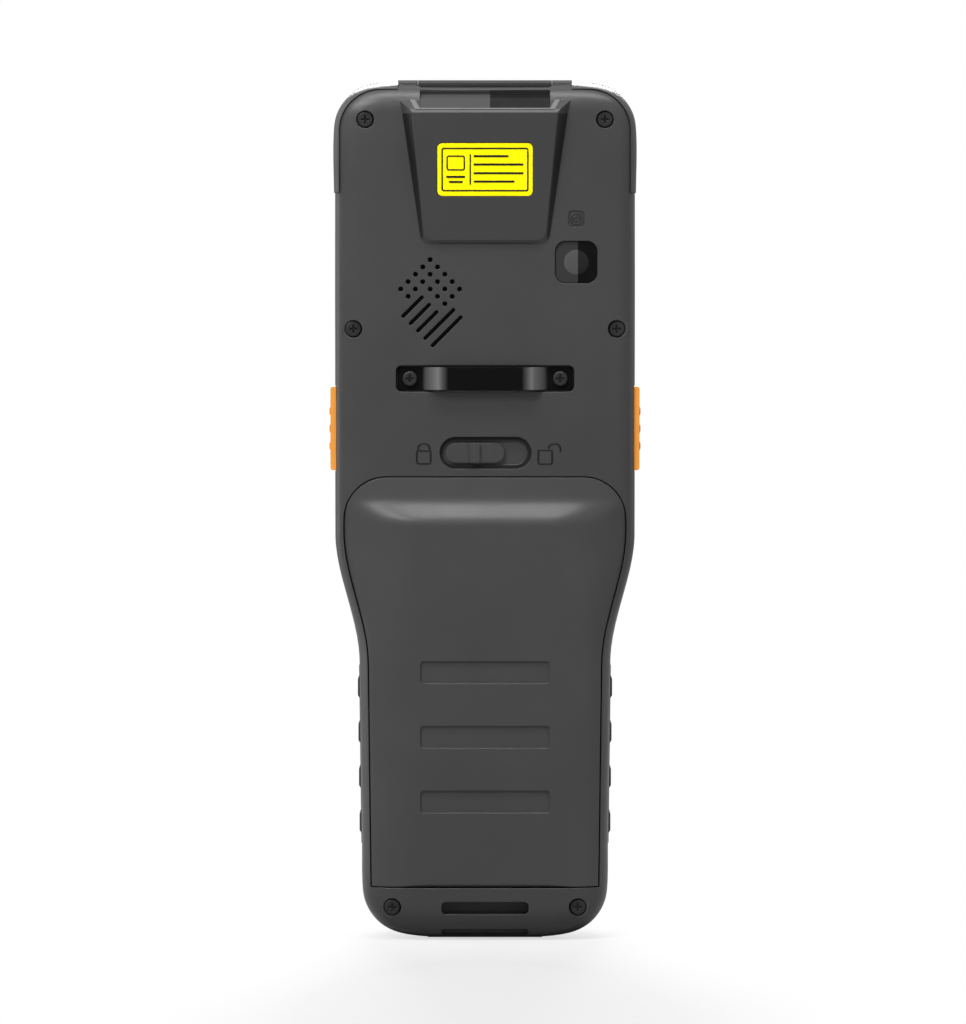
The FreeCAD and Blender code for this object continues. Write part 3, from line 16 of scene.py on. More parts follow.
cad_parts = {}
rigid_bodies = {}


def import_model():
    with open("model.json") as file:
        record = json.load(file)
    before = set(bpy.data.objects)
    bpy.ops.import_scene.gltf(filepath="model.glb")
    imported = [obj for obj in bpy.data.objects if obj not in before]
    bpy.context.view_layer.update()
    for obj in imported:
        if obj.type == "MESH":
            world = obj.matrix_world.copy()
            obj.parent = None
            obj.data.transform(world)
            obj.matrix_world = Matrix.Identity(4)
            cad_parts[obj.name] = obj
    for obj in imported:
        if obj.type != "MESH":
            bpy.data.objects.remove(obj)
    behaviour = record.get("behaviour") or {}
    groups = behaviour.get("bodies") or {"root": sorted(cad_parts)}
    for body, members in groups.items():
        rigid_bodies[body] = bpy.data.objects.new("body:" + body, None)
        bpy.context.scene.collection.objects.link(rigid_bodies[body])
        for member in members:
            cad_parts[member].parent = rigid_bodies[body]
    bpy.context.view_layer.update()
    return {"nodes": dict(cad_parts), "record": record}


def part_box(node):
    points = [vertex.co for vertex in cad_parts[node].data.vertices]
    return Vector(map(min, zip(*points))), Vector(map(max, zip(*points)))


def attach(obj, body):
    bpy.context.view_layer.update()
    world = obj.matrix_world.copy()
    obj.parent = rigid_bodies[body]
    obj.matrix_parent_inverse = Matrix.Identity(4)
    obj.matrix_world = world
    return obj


for leftover in list(bpy.data.objects):
    bpy.data.objects.remove(leftover, do_unlink=True)
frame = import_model()
nodes = frame["nodes"]
MM = 0.001
PARTING_Y = 3.85
BACK_Y = PARTING_Y - 13.0
HOOD_LOW_Z = 166.0

# %% [markdown]
# ## The camera comes first
#
# The photograph looks square at the back from far away, with the terminal standing upright. A long lens does
# that. The camera stands a little above the middle, so that the soft shadow in front of the foot shows. A pixel
# of the photograph is a known length, so the frame is set by the column and the row of the terminal's foot.

# %% Camera
PIXEL = 0.2381 * MM
FRAME_WIDE, FRAME_HIGH = 966, 1024
FOOT_COLUMN, FOOT_ROW = 485.0, 941.5
AIM_Y = -10.5 * MM
AIM = Vector(((FRAME_WIDE / 2 - FOOT_COLUMN) * PIXEL, AIM_Y, (FOOT_ROW - FRAME_HIGH / 2) * PIXEL))
CAMERA_FAR = 1.5
CAMERA_LIFT = math.radians(2.6)
SENSOR_HIGH = 36.0

camera_data = bpy.data.cameras.new("camera")
camera = bpy.data.objects.new("camera", camera_data)
bpy.context.scene.collection.objects.link(camera)
bpy.context.scene.camera = camera
camera_data.sensor_fit = "VERTICAL"
camera_data.sensor_height = SENSOR_HIGH
camera_data.lens = SENSOR_HIGH * CAMERA_FAR / (FRAME_HIGH * PIXEL)
away = Vector((0.0, -math.cos(CAMERA_LIFT), math.sin(CAMERA_LIFT)))
camera.location = AIM + away * CAMERA_FAR
camera.rotation_euler = (math.radians(90.0) - CAMERA_LIFT, 0.0, 0.0)
camera_data.clip_start = 0.05
camera_data.clip_end = 20.0
print("lens", round(camera_data.lens, 1), "mm")

# %% [markdown]
# ## A material is a small graph
#
# Each finish is a Principled shader with a few helpers before it. `Graph` saves typing: it adds a node, sets its
# values and links its inputs in one call. An input is named by its label, or by i and its number where several
# inputs share one label.

# %% Graph helper
MIX_COLOUR_A, MIX_COLOUR_B, MIX_COLOUR_OUT = 6, 7, 2


class Graph:
    """A material's node tree with short calls to add and link nodes."""

    def __init__(self, name):
        self.material = bpy.data.materials.new(name)
        self.material.use_nodes = True
        self.tree = self.material.node_tree
        self.tree.nodes.clear()
        self.out = self.tree.nodes.new("ShaderNodeOutputMaterial")
        self.place = self.add("ShaderNodeTexCoord").outputs["Object"]

    def add(self, kind, settings=None, **inputs):
        """Adds a node. Each input is a socket to link or a plain value."""
        node = self.tree.nodes.new(kind)
        for key, value in (settings or {}).items():
            setattr(node, key, value)
        for key, value in inputs.items():
            socket = node.inputs[int(key[1:])] if key[0] == "i" and key[1:].isdigit() else node.inputs[key]
            if isinstance(value, bpy.types.NodeSocket):
                self.tree.links.new(value, socket)
            else:
                socket.default_value = value
        return node

    def math(self, operation, a, b=0.0, clamp=False):
        return self.add("ShaderNodeMath", {"operation": operation, "use_clamp": clamp}, i0=a, i1=b).outputs[0]

    def noise(self, scale, detail=2.0, rough=0.5, where=None):
        node = self.add("ShaderNodeTexNoise", None, Vector=where or self.place, Scale=scale, Detail=detail,
                        Roughness=rough)
        return node.outputs["Fac"]

    def ramp(self, value, stops):
        """Colour ramp through (place, colour) stops."""
        node = self.add("ShaderNodeValToRGB", None, Fac=value)
        while len(node.color_ramp.elements) < len(stops):
            node.color_ramp.elements.new(0.5)
        for element, (at, colour) in zip(node.color_ramp.elements, stops):
            element.position = at
            element.color = tuple(colour) + (1.0,)
        return node.outputs["Color"]

    def mix(self, share, a, b):
        """Colour a where share is 0, and b where it is 1."""
        node = self.add("ShaderNodeMix", {"data_type": "RGBA"}, i0=share)
        for index, value in ((MIX_COLOUR_A, a), (MIX_COLOUR_B, b)):
            if isinstance(value, bpy.types.NodeSocket):
                self.tree.links.new(value, node.inputs[index])
            else:
                node.inputs[index].default_value = tuple(value) + (1.0,)
        return node.outputs[MIX_COLOUR_OUT]

    def axes(self):
        return self.add("ShaderNodeSeparateXYZ", None, Vector=self.place).outputs

    def finish(self, colour, roughness, normal=None, **fixed):
        """Ends the graph in a Principled shader and gives back the material."""
        shader = self.add("ShaderNodeBsdfPrincipled")
        for key, value in (("Base Color", colour), ("Roughness", roughness), ("Normal", normal)):
            if value is None:
                continue
            if isinstance(value, bpy.types.NodeSocket):
                self.tree.links.new(value, shader.inputs[key])
            elif key == "Base Color":
                shader.inputs[key].default_value = tuple(value) + (1.0,)
            else:
                shader.inputs[key].default_value = value
        for key, value in fixed.items():
            shader.inputs[key.replace("_", " ")].default_value = value
        self.tree.links.new(shader.outputs[0], self.out.inputs["Surface"])
        return self.material


print("colour sockets of a mix", MIX_COLOUR_A, MIX_COLOUR_B, MIX_COLOUR_OUT)

# %% [markdown]
# ## Moulded plastic
#
# The housing is moulded in a spark-eroded tool: a dull skin of grains about a quarter of a millimetre wide.
# A picture could carry the grain, but noise on Object coordinates needs no picture and never stretches.
# A Bevel node rounds every crisp solid edge a little, and where it bends the normal the edge is painted paler,
# partly as wear and partly as a painted highlight.

# %% Moulded skin
EDGE_GAIN = 2.2
CLOUD_DARK, CLOUD_LIGHT = 0.93, 1.07
WORN_HIGHLIGHT_GAIN, WORN_HIGHLIGHT_ADD = 1.9, 0.015
GLOSS_SPREAD = 0.1
# Share of the colour that is left where painted shade darkens it.
SHADE_LEFT = 0.12


def edge_and_grain(graph, round_mm, grain_mm, grain_high):
    """A softened, grained normal, and a mask of how near an outer edge each point is."""
    bevel = graph.add("ShaderNodeBevel", {"samples": 4}, Radius=round_mm * MM)
    surface = graph.add("ShaderNodeNewGeometry")
    turned = graph.add("ShaderNodeVectorMath", {"operation": "DOT_PRODUCT"}, i0=bevel.outputs[0],
                       i1=surface.outputs["Normal"])
    edge = graph.math("MULTIPLY", graph.math("SUBTRACT", 1.0, turned.outputs["Value"]), EDGE_GAIN, clamp=True)
    grain = graph.noise(1.0 / (grain_mm * MM), 3.0, 0.6)
    bump = graph.add("ShaderNodeBump", None, Strength=1.0, Distance=grain_high * MM, Height=grain,
                     Normal=bevel.outputs[0])
    return bump.outputs[0], edge


def moulded(name, colour, roughness=0.4, grain_mm=0.3, grain_high=0.008, round_mm=0.32, wear_and_highlight=0.3,
            specular=0.3, shade=None):
    """Grained plastic, cloudy gloss, edges paler from wear and painted highlight, painted shade where shade says.
    """
    graph = Graph(name)
    normal, edge = edge_and_grain(graph, round_mm, grain_mm, grain_high)
    cloud = graph.noise(38.0, 3.0, 0.55)
    darker = tuple(c * CLOUD_DARK for c in colour)
    lighter = tuple(c * CLOUD_LIGHT for c in colour)
    base = graph.ramp(cloud, ((0.3, darker), (0.7, lighter)))
    scuffs = graph.noise(900.0, 2.0, 0.6)
    # Edges are painted paler: partly wear, partly a painted highlight, broken up by the scuff noise.
    worn_and_highlit = graph.math("MULTIPLY", edge, graph.math("MULTIPLY", scuffs, wear_and_highlight))
    rubbed_and_highlit = tuple(min(1.0, c * WORN_HIGHLIGHT_GAIN + WORN_HIGHLIGHT_ADD) for c in colour)
    base = graph.mix(worn_and_highlit, base, rubbed_and_highlit)
    smear = graph.noise(120.0, 2.0, 0.5)
    gloss = graph.math("ADD", roughness - GLOSS_SPREAD / 2, graph.math("MULTIPLY", smear, GLOSS_SPREAD))
    # Painted shade: where the mask says, the colour is darkened to stand in for shade.
    if shade is not None:
        base = graph.mix(shade(graph), base, tuple(c * SHADE_LEFT for c in colour))
    return graph.finish(base, gloss, normal, Specular_IOR_Level=specular)


print("moulded skin helpers ready")

# %% [markdown]
# ### Painted shade on the hood's side walls
#
# The drafted walls on both sides of the scan hood get painted shade: their colour is darkened as if in shade,
# since they face away from the light. They are part of the housing, so a mask finds them: the strip between two
# lines that lean outwards as they rise from the hood's foot.

# %% Hood walls
WALL_INNER_X, WALL_INNER_LEAN = 14.35, 0.095
WALL_OUTER_X, WALL_OUTER_LEAN = 15.25, 0.146
WALL_START, WALL_HIGH = 0.8, 31.0
CRISP, SOFT = 4000.0, 900.0


def hood_wall_painted_shade(graph):
    """Mask of the hood's two side walls, where the housing gets painted shade."""
    x, y, z = graph.axes()[0:3]
    up = graph.math("SUBTRACT", z, HOOD_LOW_Z * MM)
    out = graph.math("ABSOLUTE", x)
    inner = graph.math("ADD", WALL_INNER_X * MM, graph.math("MULTIPLY", up, WALL_INNER_LEAN))
    outer = graph.math("ADD", WALL_OUTER_X * MM, graph.math("MULTIPLY", up, WALL_OUTER_LEAN))
    past = graph.math("MULTIPLY", graph.math("SUBTRACT", out, inner), CRISP, clamp=True)
    before = graph.math("MULTIPLY", graph.math("SUBTRACT", outer, out), CRISP, clamp=True)
    above = graph.math("MULTIPLY", graph.math("SUBTRACT", up, WALL_START * MM), SOFT, clamp=True)
    below = graph.math("LESS_THAN", up, WALL_HIGH * MM)
    rear = graph.math("LESS_THAN", y, (BACK_Y + 0.05) * MM)
    ends = graph.math("MULTIPLY", above, graph.math("MULTIPLY", below, rear))
    return graph.math("MULTIPLY", ends, graph.math("MULTIPLY", past, before))


print("hood wall", WALL_OUTER_X - WALL_INNER_X, "mm wide at the foot")

# %% [markdown]
# ### One recipe, many parts
#
# Every moulded part uses the same recipe with its own colour, gloss, grain, and edge wear with painted highlight.
# A table of calls keeps the finishes side by side, so that two greys can be told apart and tuned against the
# photograph.

# %% Plastic and rubber
finishes = {
    # The housing gets painted shade on the hood's side walls.
    "housing_plastic": moulded("housing plastic", (0.031, 0.031, 0.0313), shade=hood_wall_painted_shade),
    "door_plastic": moulded("door plastic", (0.034, 0.034, 0.0343)),
    "front_plastic": moulded("front plastic", (0.022, 0.022, 0.0223)),
    "cap_plastic": moulded("window cap plastic", (0.016, 0.016, 0.0162), 0.4),
    "latch_plastic": moulded("latch plastic", (0.031, 0.031, 0.0313), 0.4, round_mm=0.2),
    "bumper_rubber": moulded("corner rubber", (0.029, 0.029, 0.0293), 0.5, 0.22, 0.01, 0.35, 0.2, 0.4),
    "grip_rubber": moulded("side grip rubber", (0.032, 0.032, 0.0323), 0.55, 0.22, 0.01, 0.3, 0.25, 0.4),
    "seal_rubber": moulded("seal rubber", (0.012, 0.012, 0.012), 0.7, 0.3, 0.01, 0.1, 0.0, 0.3),
    "trigger_plastic": moulded("orange trigger plastic", (0.68, 0.26, 0.035), 0.42, 0.3, 0.006, 0.3, 0.12),
    "switch_plastic": moulded("switch plastic", (0.02, 0.02, 0.02), 0.4),
    "module_plastic": moulded("module plastic", (0.012, 0.012, 0.013), 0.45),
    "connector_plastic": moulded("connector plastic", (0.01, 0.01, 0.01), 0.4),
    "battery_plastic": moulded("battery wrap", (0.03, 0.03, 0.034), 0.4),
    "key_rubber": moulded("key rubber", (0.075, 0.075, 0.078), 0.5, 0.3, 0.006, 0.35, 0.15),
    "scan_key_rubber": moulded("orange key rubber", (0.8, 0.29, 0.035), 0.5, 0.3, 0.006, 0.35, 0.1),
    "membrane_rubber": moulded("keypad membrane rubber", (0.25, 0.25, 0.25), 0.6),
    "board_laminate": moulded("board solder mask", (0.01, 0.09, 0.035), 0.3, 0.5, 0.004, 0.1),
    "display_plastic": moulded("display frame", (0.012, 0.012, 0.014), 0.25, 0.6, 0.002, 0.1),
}
print("plastics and rubbers", len(finishes))

# %% [markdown]
# ## Metal
#
# Steel is a metallic shader with fine streaks along the way it was brushed. The strap bar and the screws are
# black plated, so their metal colour is nearly black and only the highlights are bright. On the strap bar's two
# legs, bright bands of painted highlight are put into the colour.

# %% Metals
STREAK_GLOSS = 0.12


def streaks(graph, scale, stretch, round_mm, deep_mm, strength):
    """Brushed lines as a value, and the normal that they and the rounded edges give."""
    stretched = graph.add("ShaderNodeMapping", None, Vector=graph.place, Scale=stretch).outputs[0]
    lines = graph.noise(scale, 3.0, 0.6, stretched)
    bevel = graph.add("ShaderNodeBevel", {"samples": 4}, Radius=round_mm * MM)
    bump = graph.add("ShaderNodeBump", None, Strength=strength, Distance=deep_mm * MM, Height=lines,
                     Normal=bevel.outputs[0])
    return lines, bump.outputs[0]


def metal(name, colour, roughness, stretch=(1.0, 1.0, 1.0)):
    """Bare or plated metal, brushed along the axis whose stretch is small."""
    graph = Graph(name)
    lines, normal = streaks(graph, 1500.0, stretch, 0.2, 0.02, 0.12)
    tone = graph.ramp(lines, ((0.3, tuple(c * 0.85 for c in colour)), (0.7, tuple(c * 1.15 for c in colour))))
    gloss = graph.math("ADD", roughness - STREAK_GLOSS / 2, graph.math("MULTIPLY", lines, STREAK_GLOSS))
    return graph.finish(tone, gloss, normal, Metallic=1.0)


def bar_finish():
    """Black plating with a painted highlight: bright bands painted over the two bent legs."""
    graph = Graph("black strap-bar steel with painted highlight")
    ramp_end = 20.0 * MM
    across = graph.math("MULTIPLY", graph.math("ABSOLUTE", graph.axes()["X"]), 1.0 / ramp_end)
    dark, half, bright = (0.0035, 0.0035, 0.0036), (0.05, 0.05, 0.051), (0.13, 0.13, 0.132)
    # Painted highlight: bright bands over the two bent legs stand in for light glinting on them.
    tone = graph.ramp(across, ((0.44, dark), (0.5, half), (0.56, bright), (0.71, half), (0.745, dark)))
    lines, normal = streaks(graph, 1400.0, (1.0, 1.0, 0.08), 0.3, 0.01, 0.2)
    gloss = graph.math("ADD", 0.3, graph.math("MULTIPLY", lines, STREAK_GLOSS))
    return graph.finish(tone, gloss, normal, Specular_IOR_Level=0.03)


finishes.update({
    "bar_steel": bar_finish(),
    "screw_steel": moulded("black screw steel", (0.011, 0.011, 0.0112), 0.4, 0.25, 0.004, 0.25, 0.3, 0.25),
    "latch_steel": metal("latch steel", (0.5, 0.5, 0.51), 0.35, (0.05, 1.0, 1.0)),
    "spring_steel": metal("spring steel", (0.55, 0.55, 0.57), 0.3, (0.05, 1.0, 1.0)),
    "mesh_steel": metal("speaker mesh steel", (0.012, 0.012, 0.012), 0.6),
    "engine_metal": metal("cast scan-engine metal", (0.45, 0.45, 0.46), 0.45),
    "shield_metal": metal("tinned shield metal", (0.55, 0.55, 0.54), 0.35),
    "contact_brass": metal("gold plated contacts", (0.75, 0.52, 0.2), 0.25),
})
print("finishes", len(finishes))

# %% [markdown]
# ## Glass and lenses
#
# The scan window's glass carries a painted reflection: its colour is pale in the left half and dark in the right.
# The camera window and its lens carry the same painted reflection about their own line, the window black on the
# right. Each pane is made as a polished skin over its own two tones, chosen by where a point lies on the object,
# so they stay put from every side.

# %% Glass
WINDOW_REFLECTION_SPLIT_X, CAMERA_REFLECTION_SPLIT_X = 1.2, 22.1
VIEW_HALF_WIDE, VIEW_HALF_HIGH, VIEW_Z = 27.0, 40.2, 145.5


def glass_with_painted_reflection(name, reflection_split_mm, left, right, roughness=0.06):
    """A polished pane with a painted reflection: paler to the left of a line across the object."""
    graph = Graph(name)
    # Painted reflection: the pane's colour is pale left of the line and dark right of it.
    side = graph.math("GREATER_THAN", graph.axes()["X"], reflection_split_mm * MM)
    dust = graph.noise(300.0, 4.0, 0.6)
    tone = graph.mix(side, left, right)
    tone = graph.mix(graph.math("MULTIPLY", dust, 0.12), tone, tuple(c * 1.3 for c in left))
    shine = graph.math("ADD", roughness, graph.math("MULTIPLY", dust, 0.03))
    return graph.finish(tone, shine, Specular_IOR_Level=0.06)


def screen_glass():
    """Black masked glass with a slightly paler view, smeared as a touched screen is."""
    graph = Graph("touch glass")
    place = graph.axes()
    wide = graph.math("LESS_THAN", graph.math("ABSOLUTE", place["X"]), VIEW_HALF_WIDE * MM)
    above = graph.math("ABSOLUTE", graph.math("SUBTRACT", place["Z"], VIEW_Z * MM))
    shown = graph.math("MULTIPLY", wide, graph.math("LESS_THAN", above, VIEW_HALF_HIGH * MM))
    tone = graph.mix(shown, (0.004, 0.004, 0.0045), (0.012, 0.013, 0.016))
    smears = graph.noise(30.0, 4.0, 0.65)
    shine = graph.math("ADD", 0.03, graph.math("MULTIPLY", smears, 0.05))
    return graph.finish(tone, shine, Coat_Weight=1.0, Coat_Roughness=0.03)


finishes.update({
    "window_glass": glass_with_painted_reflection("scan window glass", WINDOW_REFLECTION_SPLIT_X, (0.048, 0.048, 0.0485),
                                   (0.008, 0.008, 0.0082)),
    "camera_glass": glass_with_painted_reflection("camera window glass", CAMERA_REFLECTION_SPLIT_X, (0.028, 0.028, 0.0283),
                                   (0.0, 0.0, 0.0)),
    "touch_glass": screen_glass(),
    "flash_plastic": moulded("flash diffuser", (0.022, 0.022, 0.0225), 0.3, 0.4, 0.003, 0.12, 0.1, 0.3),
    "light_plastic": moulded("status light plastic", (0.5, 0.52, 0.5), 0.2, 0.4, 0.002, 0.1, 0.0),
})
# The lens gets the same painted reflection.
lens_painted_reflection = glass_with_painted_reflection("camera lens", CAMERA_REFLECTION_SPLIT_X, (0.06, 0.06, 0.061), (0.008, 0.008, 0.0082), 0.12)
print("finishes", len(finishes))

# %% [markdown]
# ## The label
#
# The hood carries a small plate of yellow film, ruled in black. The film could be one flat colour, but its ink is
# a little uneven and its skin has a fine tooth, so two noises give it both. The same cloudy ink serves for the
# rules, for the white print on the keys and for the shade at the bottom of a groove.

# %% Film and ink
def label_film():
    """Yellow film with uneven ink and a fine tooth."""
    graph = Graph("yellow label film")
    cloud = graph.noise(200.0, 2.0, 0.5)
    tone = graph.ramp(cloud, ((0.3, (0.86, 0.74, 0.0)), (0.7, (0.92, 0.8, 0.0))))
    fine = graph.noise(2500.0, 2.0, 0.5)
    bump = graph.add("ShaderNodeBump", None, Strength=0.2, Distance=0.004 * MM, Height=fine)
    return graph.finish(tone, 0.45, bump.outputs[0], Specular_IOR_Level=0.1)


def printed(name, colour, roughness=0.5):
    """Flat ink, a little cloudy, with hardly any shine."""
    graph = Graph(name)
    cloud = graph.noise(700.0, 2.0, 0.5)
    tone = graph.ramp(cloud, ((0.3, tuple(c * 0.8 for c in colour)), (0.7, tuple(c * 1.1 for c in colour))))
    return graph.finish(tone, roughness, Specular_IOR_Level=0.08)


finishes["label_film"] = label_film()
black_ink = printed("black ink", (0.012, 0.012, 0.012))
white_ink = printed("white key print", (0.7, 0.7, 0.7))
# Painted shade, for the bottoms of grooves and the hood's foot.
painted_groove_shade = printed("shaded groove", (0.014, 0.014, 0.014), 0.7)
print("inks", black_ink.name, white_ink.name, painted_groove_shade.name)

# %% [markdown]
# ## Every solid gets its finish
#
# A solid's material slot has the record's slot name, so one loop dresses them all.

# %% Dress the solids
for row in frame["record"]["subparts"]:
    mesh = nodes[row["node"]].data
    finish = finishes[row["material_slot"]]
    for index in range(len(mesh.materials)):
        mesh.materials[index] = finish

# %% [markdown]
# ## Small pieces
#
# Most of the added pieces are flat shapes with a little thickness. `slab` pulls a flat outline out along Y,
# `band` makes the flat ring between two outlines, and `piece` gives a mesh its finish, body and slot.

# %% Flat shapes
SHARP_ANGLE = math.radians(35.0)


def piece(name, mesh, finish, body, smooth=True):
    """Puts a mesh in the scene as a named piece that rides on a body."""
    mesh.materials.clear()
    mesh.materials.append(finish)
    for face in mesh.polygons:
        face.use_smooth = smooth
    thing = bpy.data.objects.new(name, mesh)
    bpy.context.scene.collection.objects.link(thing)
    if smooth:
        mesh.set_sharp_from_angle(angle=SHARP_ANGLE)
    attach(thing, body)


def mesh_from(shape, name):
    """Plain mesh of a bmesh, with its faces turned outwards."""
    bmesh.ops.recalc_face_normals(shape, faces=shape.faces)
    mesh = bpy.data.meshes.new(name)
    shape.to_mesh(mesh)
    shape.free()
    return mesh


def rounded_outline(cx, cz, wide, high, r, steps=8):
    """Points of a rounded rectangle in millimetres, counter-clockwise."""
    points = []
    w, h = wide / 2 - r, high / 2 - r
    for sx, sz, start in ((1, 1, 0), (-1, 1, 90), (-1, -1, 180), (1, -1, 270)):
        for i in range(steps + 1):
            a = math.radians(start + 90.0 * i / steps)
            points.append((cx + sx * w + r * math.cos(a), cz + sz * h + r * math.sin(a)))
    return points


def slab(outline, y_back, y_front):
    """Mesh of an XZ outline in millimetres, thick from y_back (outer, -Y) to y_front."""
    shape = bmesh.new()
    face = shape.faces.new([shape.verts.new((x * MM, y_front * MM, z * MM)) for x, z in outline])
    pulled = bmesh.ops.extrude_face_region(shape, geom=[face])
    moved = [v for v in pulled["geom"] if isinstance(v, bmesh.types.BMVert)]
    bmesh.ops.translate(shape, verts=moved, vec=(0.0, (y_back - y_front) * MM, 0.0))
    return mesh_from(shape, "slab")


def band(outer, inner, y_back, y_front):
    """Mesh of the flat ring between two outlines that have as many points."""
    shape = bmesh.new()
    rows = []
    for outline, y in ((outer, y_back), (inner, y_back), (inner, y_front), (outer, y_front)):
        rows.append([shape.verts.new((x * MM, y * MM, z * MM)) for x, z in outline])
    count = len(outer)
    for k in range(4):
        a, b = rows[k], rows[(k + 1) % 4]
        for i in range(count):
            j = (i + 1) % count
            shape.faces.new((a[i], a[j], b[j], b[i]))
    return mesh_from(shape, "band")


def joined(meshes, name):
    """One mesh from several."""
    shape = bmesh.new()
    for mesh in meshes:
        shape.from_mesh(mesh)
    whole = bpy.data.meshes.new(name)
    shape.to_mesh(whole)
    shape.free()
    return whole


print("flat shape helpers ready")

# %% [markdown]
# ### Shapes from curves
#
# Blender's curves and text are quick to draw, but a finished piece is a mesh. `path_curve` draws a line through
# points, and `mesh_of` turns any curve or text into a mesh and clears the drawing away. `rail` is a thin rounded
# wire: a line with a bevel.

# %% Curve helpers
def path_curve(points, closed=False):
    """Straight-sided curve through points in millimetres."""
    curve = bpy.data.curves.new("path", "CURVE")
    curve.dimensions = "3D"
    line = curve.splines.new("POLY")
    line.points.add(len(points) - 1)
    for point, (x, y, z) in zip(line.points, points):
        point.co = (x * MM, y * MM, z * MM, 1.0)
    line.use_cyclic_u = closed
    return curve


def mesh_of(drawing, dress=None):
    """Mesh of a curve or text, after dress has put any modifier on its object."""
    holder = bpy.data.objects.new("drawing", drawing)
    bpy.context.scene.collection.objects.link(holder)
    if dress is not None:
        dress(holder)
    graph = bpy.context.evaluated_depsgraph_get()
    mesh = bpy.data.meshes.new_from_object(holder.evaluated_get(graph))
    bpy.data.objects.remove(holder)
    bpy.data.curves.remove(drawing)
    return mesh


def rail(points, radius, closed=False):
    """Round wire along points in millimetres, with its ends filled."""
    curve = path_curve(points, closed)
    curve.bevel_depth = radius * MM
    curve.bevel_resolution = 3
    curve.use_fill_caps = not closed
    return mesh_of(curve)


print("curve helpers ready")



# %% [markdown]
# ## Label rules
#
# The printed border is a thin rounded frame just inside the plate's edge, and a divider splits it. The plate
# lies on the hood's tilted face. Each bar could be tilted by itself, but it is easier to make them all upright,
# join them, and tilt the whole print once about the hood's foot.

# %% Label print
HOOD_LOW_Y = BACK_Y - 0.7
HOOD_TILT = math.atan2(2.8, 31.4)
LABEL_Z = 183.75
INK_OUT, INK_THICK = 0.03, 0.06
BORDER_RULE, THIN_RULE, BAR_HIGH = 0.36, 0.34, 0.5
INK_Y = HOOD_LOW_Y - INK_OUT


def printed_bar(x0, x1, z, high, r):
    """Flat bar of ink, its height measured from the label's middle."""
    return slab(rounded_outline((x0 + x1) / 2, LABEL_Z + z, x1 - x0, high, r, 2), INK_Y, INK_Y + INK_THICK)


def printed_frame(cx, cz, wide, high, r, rule):
    """Rounded frame of ink round a point measured from the label's middle."""
    outer = rounded_outline(cx, LABEL_Z + cz, wide, high, r)
    inner = rounded_outline(cx, LABEL_Z + cz, wide - 2 * rule, high - 2 * rule, r - rule)
    return band(outer, inner, INK_Y, INK_Y + INK_THICK)


prints = [
    printed_frame(0.0, 0.0, 20.7, 10.4, 0.6, BORDER_RULE),
    printed_frame(-6.95, 1.55, 4.4, 3.6, 0.6, THIN_RULE),
    printed_bar(-3.5 - THIN_RULE / 2, -3.5 + THIN_RULE / 2, 0.0, 7.2, 0.06),
]
for x0, x1, z in ((-2.7, 5.6, 3.17), (-2.7, 9.1, 1.2), (-2.7, 9.1, -0.87), (-2.7, 7.0, -2.86),
                  (-9.2, -4.7, -1.75), (-8.6, -5.3, -2.95)):
    prints.append(printed_bar(x0, x1, z, BAR_HIGH, BAR_HIGH * 0.3))
label_print = joined(prints, "label_print")
hood_foot = Vector((0.0, HOOD_LOW_Y * MM, HOOD_LOW_Z * MM))
label_print.transform(Matrix.Translation(hood_foot) @ Matrix.Rotation(HOOD_TILT, 4, "X")
                      @ Matrix.Translation(-hood_foot))
piece("label_print", label_print, black_ink, "housing", smooth=False)
print("label prints", len(prints), "faces", len(label_print.polygons))

# %% [markdown]
# ## The lip round the scan window
#
# A polished lip runs under the window and up both sides, and it is the brightest line on the hood: its colour
# is painted pale, a painted highlight. It lies on the slope that carries the glass. A bevel on the housing itself
# would also round the slope's other edges, so flat strips are laid on the slope instead. A dark strip of painted
# shade marks the hood's foot.

# %% Window lip
SLOPE_LOW, SLOPE_HIGH = Vector((0.0, PARTING_Y - 15.7, 198.1)), Vector((0.0, PARTING_Y - 8.4, 203.2))
UP_SLOPE = (SLOPE_HIGH - SLOPE_LOW).normalized()
OFF_SLOPE = Vector((0.0, -UP_SLOPE.z, UP_SLOPE.y))
LIP_SUNK, LIP_OUT = -0.02, 0.07
LIP_LOW, LIP_INNER_UP, LIP_TOP = -0.3, 0.25, 8.0
LIP_OUTER_X, LIP_INNER_X = 16.6, 15.5
LIP_TOP_OUTER_X, LIP_TOP_INNER_X = 19.2, 18.0


def slope_strip(corners):
    """Thin plate on the window slope from (x, distance up the slope) corners in millimetres."""
    shape = bmesh.new()
    low, high = [[shape.verts.new((Vector((x, 0, 0)) + SLOPE_LOW + UP_SLOPE * up + OFF_SLOPE * out) * MM)
                  for x, up in corners] for out in (LIP_SUNK, LIP_OUT)]
    shape.faces.new(low)
    shape.faces.new(high)
    for i in range(len(corners)):
        j = (i + 1) % len(corners)
        shape.faces.new((low[i], low[j], high[j], high[i]))
    return mesh_from(shape, "strip")


# Painted highlight: the lip's colour is much paler than the housing's, for the light it catches.
lip_painted_highlight = moulded("lip with painted highlight", (0.1, 0.1, 0.101), 0.3, 0.3, 0.003, 0.2, 0.3, 0.5)
strips = [slope_strip(((-LIP_OUTER_X, LIP_LOW), (LIP_OUTER_X, LIP_LOW), (LIP_INNER_X, LIP_INNER_UP),
                       (-LIP_INNER_X, LIP_INNER_UP)))]
for side in (1.0, -1.0):
    strips.append(slope_strip(((side * LIP_OUTER_X, LIP_LOW), (side * LIP_INNER_X, LIP_INNER_UP),
                               (side * LIP_TOP_INNER_X, LIP_TOP), (side * LIP_TOP_OUTER_X, LIP_TOP))))
piece("window_lip", joined(strips, "window_lip"), lip_painted_highlight, "housing", smooth=False)
